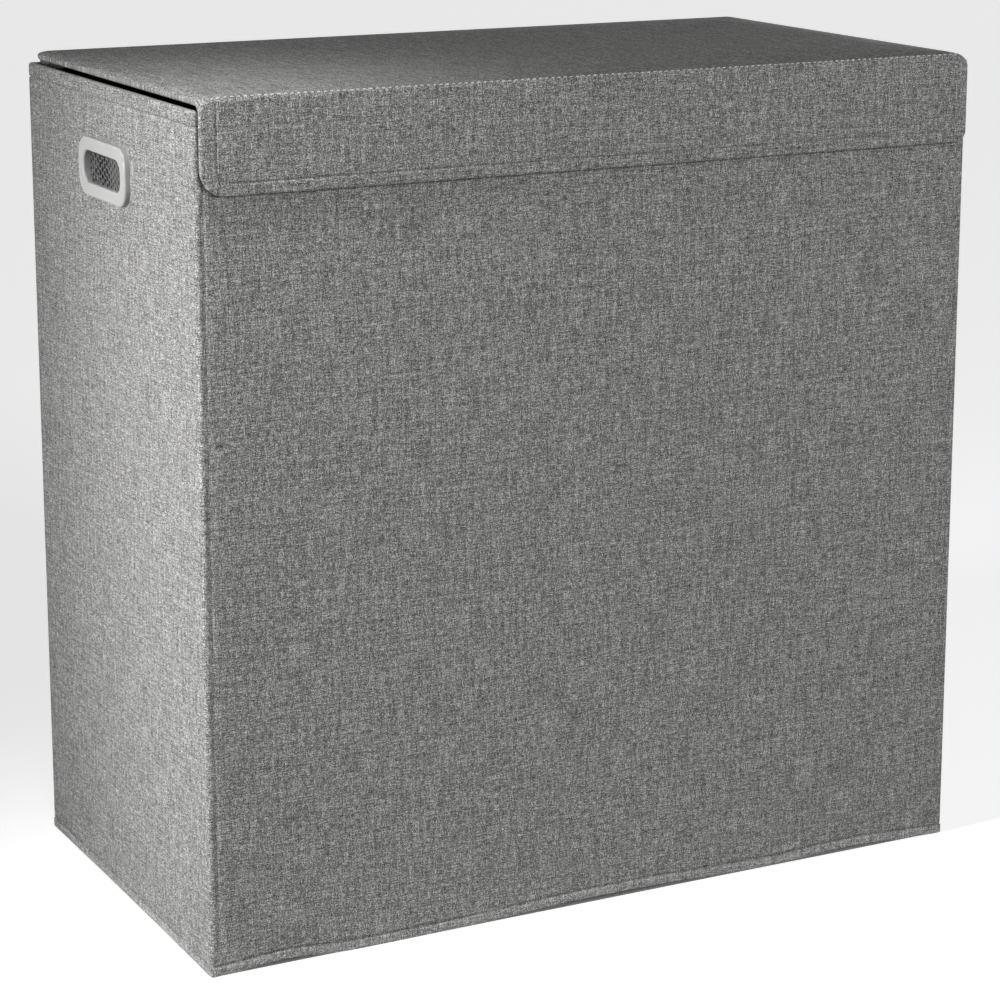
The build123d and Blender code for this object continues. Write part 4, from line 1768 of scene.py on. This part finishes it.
    def loop(self, end: str) -> None:
        """Make one webbing loop that the bag is lifted by.

        Args:
            end: front or back.
        """
        low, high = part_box(f"{self.side}_{end}_strap")
        inward = 1 if end == "front" else -1
        depth = high.y - low.y
        middle, level = (low.x + high.x) / 2, (low.y + high.y) / 2
        width = 22 * MM
        reach = (high.x - low.x - width) / 2
        bend = low.z + width / 2 + reach
        down = np.linspace(high.z, bend, 14)[:-1]
        turns = np.linspace(0, math.pi, 19)
        flat = [(-reach, z) for z in down]
        flat += [(-reach * math.cos(a), bend - reach * math.sin(a)) for a in turns]
        flat += [(reach, z) for z in reversed(down)]
        path, across = [], []
        for i, (x, z) in enumerate(flat):
            ahead = Vector(flat[min(i + 1, len(flat) - 1)]) - Vector(flat[max(i - 1, 0)])
            ahead.normalize()
            drop = (high.z - z) / (high.z - low.z)
            off = inward * (0.2 + 3.0 * drop**2) * MM
            path.append(Vector((middle + x, level + off, z)))
            across.append(Vector((-ahead.y, 0, ahead.x)))
        tape = ribbon(path, across, width, depth * 0.9)
        piece = tape.to_object(f"{self.side}_{end}_loop", self.finishes.webbing, "black_webbing")
        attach(piece, "box")
        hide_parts(f"{self.side}_{end}_strap")
        face = level + inward * (depth * 0.45 + 0.25 * MM)
        box = [(-8, -2), (8, -2), (8, -16), (-8, -16), (-8, -2), (8, -16), (8, -2), (-8, -16)]  # millimetres
        seams = []
        for x in (-reach, reach):
            points = np.array([(middle + x + a * MM, face, high.z + b * MM) for a, b in box])
            seams.append(Seam(2.6 * MM, 2.0 * MM, 0.5 * MM).sew(points, np.array([0.0, float(inward), 0.0])))
        name = f"{self.side}_{end}_loop_stitches"
        sewn(seams, name, self.finishes.black_thread, "black_webbing", "box")

    def tapes(self, end: str) -> None:
        """Make the hook tape on the wall and the loop tape on the collar.

        Args:
            end: front or back.
        """
        for kind in ("hook", "loop"):
            name = f"{self.side}_{end}_{kind}_tape"
            low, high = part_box(name)
            steps = np.linspace(low.x, high.x, 13)
            path = [Vector((x, (low.y + high.y) / 2, (low.z + high.z) / 2)) for x in steps]
            tape = ribbon(path, [Vector((0, 0, 1))] * len(path), high.z - low.z, high.y - low.y)
            piece = tape.to_object(f"{name}_strip", self.finishes.fastener, "hook_and_loop")
            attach(piece, "box")
            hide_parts(name)


@dataclass
class HoleNet:
    """The net behind one hand hole, in real yarn: round holes in six-sided cells, inside the handle."""

    finishes: Finishes
    side: str
    frame_width: Vector
    pitch: float = 5.5 * MM
    hole_share: float = 0.27  # radius of a hole over the pitch
    wide_share: float = 0.41  # the same where the net is drawn out
    bunched: float = 14.0 * MM  # in front of this distance from the middle the net is bunched up,
    squeeze: float = 0.8  # to this share of its width
    set_back: float = 4.0 * MM  # from the handle's outer face
    sink: float = 0.8 * MM  # how much deeper the drawn out part lies
    change: float = 14.0 * MM  # over this length it goes from bunched to drawn out
    dent: float = 0.22 * MM  # how far a cell's corners stand off its flat sides' middles, each way
    opening_corner: float = 10.0 * MM
    tuck: float = 4.0 * MM  # how far the net runs into the sleeve's wall
    sides: int = 12

    def __post_init__(self) -> None:
        """Read the opening's place from the frame."""
        low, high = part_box(f"{self.side}_handle")
        self.outward = -1 if self.side == "left" else 1
        self.x = (low.x + self.set_back) if self.outward < 0 else (high.x - self.set_back)
        self.middle = (low + high) / 2
        self.half = Vector(((high.y - low.y) / 2, (high.z - low.z) / 2)) - self.frame_width

    def inside(self, y: float, z: float) -> bool:
        """Say whether a cell's middle, from the opening's middle, lies in the opening or just past it."""
        gaps = [max(abs(a) - b + self.opening_corner, 0) for a, b in zip((y, z), self.half)]
        return math.hypot(*gaps) < self.opening_corner + self.tuck

    def drawn(self, across: Array) -> tuple[Array, Array]:
        """Bunch the net up towards the front, and let the part behind lie deeper, as a net on a bag does.

        Args:
            across: places along the even net.

        Returns:
            Their places along the side, and from 0 to 1 how far each is in the drawn out part.
        """
        past = across + self.bunched
        place = np.where(past < 0, past * self.squeeze, past) - self.bunched
        return place, np.clip(past / self.change, 0, 1)

    def cell(self, y: float, z: float) -> tuple[Array, list[tuple[int, ...]]]:
        """Make one six-sided cell with a round hole, with a slight dish to each of its yarns.

        Args:
            y: the middle's place along the even net.
            z: its height over the opening's middle.

        Returns:
            Its points and its faces.
        """
        turns = np.arange(self.sides) * math.tau / self.sides
        corner = np.arange(self.sides) % 2 == 0
        reach = np.where(corner, self.pitch / math.sqrt(3), self.pitch / 2)
        dent = np.where(corner, self.dent, -self.dent) * self.outward
        rings = []
        share = float(np.interp(self.drawn(np.array(y))[1], [0, 1], [self.hole_share, self.wide_share]))
        for radius, shift in ((reach, dent), (np.full(self.sides, self.pitch * share), 0.0)):
            across, open_part = self.drawn(y + radius * np.cos(turns))
            deep = self.x - shift - self.outward * self.sink * open_part
            rings.append(np.column_stack([deep, across, self.middle.z + z + radius * np.sin(turns)]))
        faces = []
        for k in range(self.sides):
            n = (k + 1) % self.sides
            face = (k, n, self.sides + n, self.sides + k)
            faces.append(face if self.outward > 0 else face[::-1])
        return np.vstack(rings), faces

    def build(self) -> None:
        """Make the net from every cell that shows in the opening."""
        step = self.pitch * math.sqrt(3) / 2
        columns = int((self.half.x + self.tuck) / (step * self.squeeze)) + 1
        rows = int((self.half.y + self.tuck) / self.pitch) + 1
        points: list[Array] = []
        faces: list[tuple[int, ...]] = []
        for column in range(-columns, columns + 1):
            for row in range(-rows, rows + 1):
                y, z = column * step, (row + (column % 2) / 2) * self.pitch
                if not self.inside(float(self.drawn(np.array(y))[0]), z):
                    continue
                shift = len(points) * 2 * self.sides
                ring, sides = self.cell(y, z)
                points.append(ring)
                faces.extend(tuple(i + shift for i in face) for face in sides)
        table = np.vstack(points)
        corners = np.array([table[i][1:] for face in faces for i in face])
        cloth = Cloth(table, faces, corners)
        piece = tidy_mesh(cloth.to_object(f"{self.side}_hole_net", self.finishes.yarn, "black_mesh"))
        thicken(piece, 0.45 * MM)
        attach(piece, "box")


# ---------------------------------------------------------------- CAD pieces that are seen as they are


def dress_nodes(finishes: Finishes) -> None:
    """Give the CAD nodes that stay their materials.

    Args:
        finishes: the hamper's finishes.
    """
    dressing = {
        "plastic": ("left_handle", "right_handle", "left_handle_ring", "right_handle_ring"),
        "steel": ("left_magnet", "right_magnet", "left_keeper", "right_keeper"),
        "spring": ("left_wire", "right_wire"),
        "board": ("front_board", "back_board", "left_board", "right_board", "base_board"),
        "lining": ("lid_board", "flap_board"),  # wrapped in cloth: their ends show under a raised flap
    }
    for finish, names in dressing.items():
        for name in names:
            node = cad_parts[name]
            node.data.materials.clear()
            node.data.materials.append(getattr(finishes, finish))
            log.info("%s: dressed in %s", name, finish)


# ---------------------------------------------------------------- studio


@dataclass(frozen=True)
class Softbox:
    """One soft lamp, with what it points at."""

    name: str
    place: tuple[float, float, float]
    target: tuple[float, float, float]
    size: tuple[float, float]
    watts: float
    spread: float = 180.0  # in degrees

    def hang(self) -> None:
        """Add the lamp to the scene."""
        data = bpy.data.lights.new(self.name, "AREA")
        data.shape = "RECTANGLE"
        data.size, data.size_y = self.size
        data.energy = self.watts
        data.spread = math.radians(self.spread)
        lamp = bpy.data.objects.new(self.name, data)
        lamp.location = self.place
        toward = Vector(self.target) - Vector(self.place)
        lamp.rotation_euler = toward.to_track_quat("-Z", "Y").to_euler()
        lamp.visible_camera = False
        bpy.context.scene.collection.objects.link(lamp)


@dataclass
class Studio:
    """A pale floor, soft lamps and the camera."""

    middle: Vector
    floor_size: float = 30.0
    floor_glow: float = 0.72  # how pale the floor is to the eye, over the light that falls on it
    world_seen: float = 0.78
    world_fill: float = 0.04
    backlight: float = 2.4
    camera_place: tuple[float, float, float] = (-1.0239, -1.9960, 0.8546)
    camera_down: float = 12.67  # in degrees, below level
    camera_turn: float = 27.24  # in degrees, to the right of straight ahead
    lens: float = 107.3  # in millimetres
    lens_shift: float = -0.10  # upwards, as a share of the frame's width

    def floor(self) -> None:
        """Lay the pale floor, lifted for the eye but not for the hamper."""
        steps = np.linspace(-self.floor_size / 2, self.floor_size / 2, 9)
        x, y = np.meshgrid(steps, steps)
        cloth = grid_cloth(np.stack([x, y, np.zeros_like(x)], -1), np.stack([x, y], -1))
        mesh = bpy.data.meshes.new("studio_floor")
        mesh.from_pydata([tuple(p) for p in cloth.points], [], cloth.faces)
        material, tree = new_material("painted_floor")
        shader = add_node(tree, "BsdfPrincipled", {"Roughness": 0.9, "Base Color": srgb("#b4b4b4")})
        glow = add_node(tree, "Emission", {"Color": srgb("#ffffff"), "Strength": self.floor_glow})
        dark = add_node(tree, "Emission", {"Strength": 0.0})
        chosen = add_node(tree, "MixShader", {0: self.seen(tree), 1: dark, 2: glow})
        total = add_node(tree, "AddShader", {0: shader, 1: chosen})
        add_node(tree, "OutputMaterial", {"Surface": total})
        mesh.materials.append(material)
        floor = bpy.data.objects.new("studio_floor", mesh)
        bpy.context.scene.collection.objects.link(floor)

    @staticmethod
    def seen(tree: Tree) -> Node:
        """Tell the rays that the eye sees from those that light the hamper.

        Args:
            tree: the node tree.

        Returns:
            A node that gives 1 for a camera, glossy or transmission ray.
        """
        path = add_node(tree, "LightPath")
        feeds = {0: path.outputs["Is Camera Ray"], 1: path.outputs["Is Glossy Ray"]}
        seen = add_node(tree, "Math", feeds, operation="MAXIMUM")
        return add_node(tree, "Math", {0: seen, 1: path.outputs["Is Transmission Ray"]}, operation="MAXIMUM")

    def world(self) -> None:
        """Set the world: a pale backdrop to the eye, and a weak even fill on the hamper."""
        world = bpy.data.worlds.new("studio")
        world.use_nodes = True
        bpy.context.scene.world = world
        tree = world.node_tree
        tree.nodes.clear()
        pale = add_node(tree, "Background", {"Color": srgb("#ffffff"), "Strength": self.world_seen})
        fill = add_node(tree, "Background", {"Color": srgb("#ffffff"), "Strength": self.world_fill})
        mixed = add_node(tree, "MixShader", {0: self.seen(tree), 1: fill, 2: pale})
        add_node(tree, "OutputWorld", {"Surface": mixed})

    def back_light(self) -> None:
        """Light the back and the right side with a level sun, which leaves the lid's top alone."""
        data = bpy.data.lights.new("back_light", "SUN")
        data.energy = self.backlight
        data.angle = math.radians(4)
        lamp = bpy.data.objects.new("back_light", data)
        lamp.rotation_euler = Vector((-1.0, -1.0, 0.0)).to_track_quat("-Z", "Y").to_euler()
        bpy.context.scene.collection.objects.link(lamp)

    def camera(self) -> None:
        """Set the camera low at the front left, looking slightly down."""
        data = bpy.data.cameras.new("camera")
        data.lens = self.lens
        data.shift_y = self.lens_shift
        camera = bpy.data.objects.new("camera", data)
        camera.location = self.camera_place
        camera.rotation_euler = (math.radians(90 - self.camera_down), 0, math.radians(-self.camera_turn))
        bpy.context.scene.collection.objects.link(camera)
        bpy.context.scene.camera = camera

    def build(self) -> None:
        """Make the floor, the world, the lamps and the camera."""
        self.floor()
        self.world()
        middle = tuple(self.middle)
        corner = (-0.32, -0.19, 0.62)
        lamps = (
            Softbox("side_softbox", (-1.70, -0.28, 0.67), (-0.31, -0.14, 0.36), (0.3, 1.0), 4.3, 42.0),
            Softbox("front_softbox", (1.05, -3.35, 1.50), middle, (1.0, 0.8), 89.0),
            Softbox("corner_softbox", (-0.45, -0.35, 1.45), corner, (0.15, 0.15), 0.33, 36.0),
        )
        for lamp in lamps:
            lamp.hang()
        self.back_light()
        self.camera()
        bpy.context.scene.view_settings.view_transform = "Standard"


def main() -> None:
    """Build the hamper's looks and the studio."""
    logging.basicConfig(level=logging.INFO, format="%(name)s: %(message)s")
    finishes = Finishes()
    dress_nodes(finishes)
    box = BoxCloth(finishes)
    box.build()
    BoxLining(finishes, box).build()
    LidCloth(finishes).build()
    RearHinge(finishes).build()
    FoldingBase(finishes).build()
    for side in ("left", "right"):
        NetBag(finishes, side).build()
        HoleNet(finishes, side, Vector((9.5 * MM, 9.75 * MM))).build()
    Studio(Vector((0, 0, box.height / 2))).build()


if __name__ == "__main__":
    main()
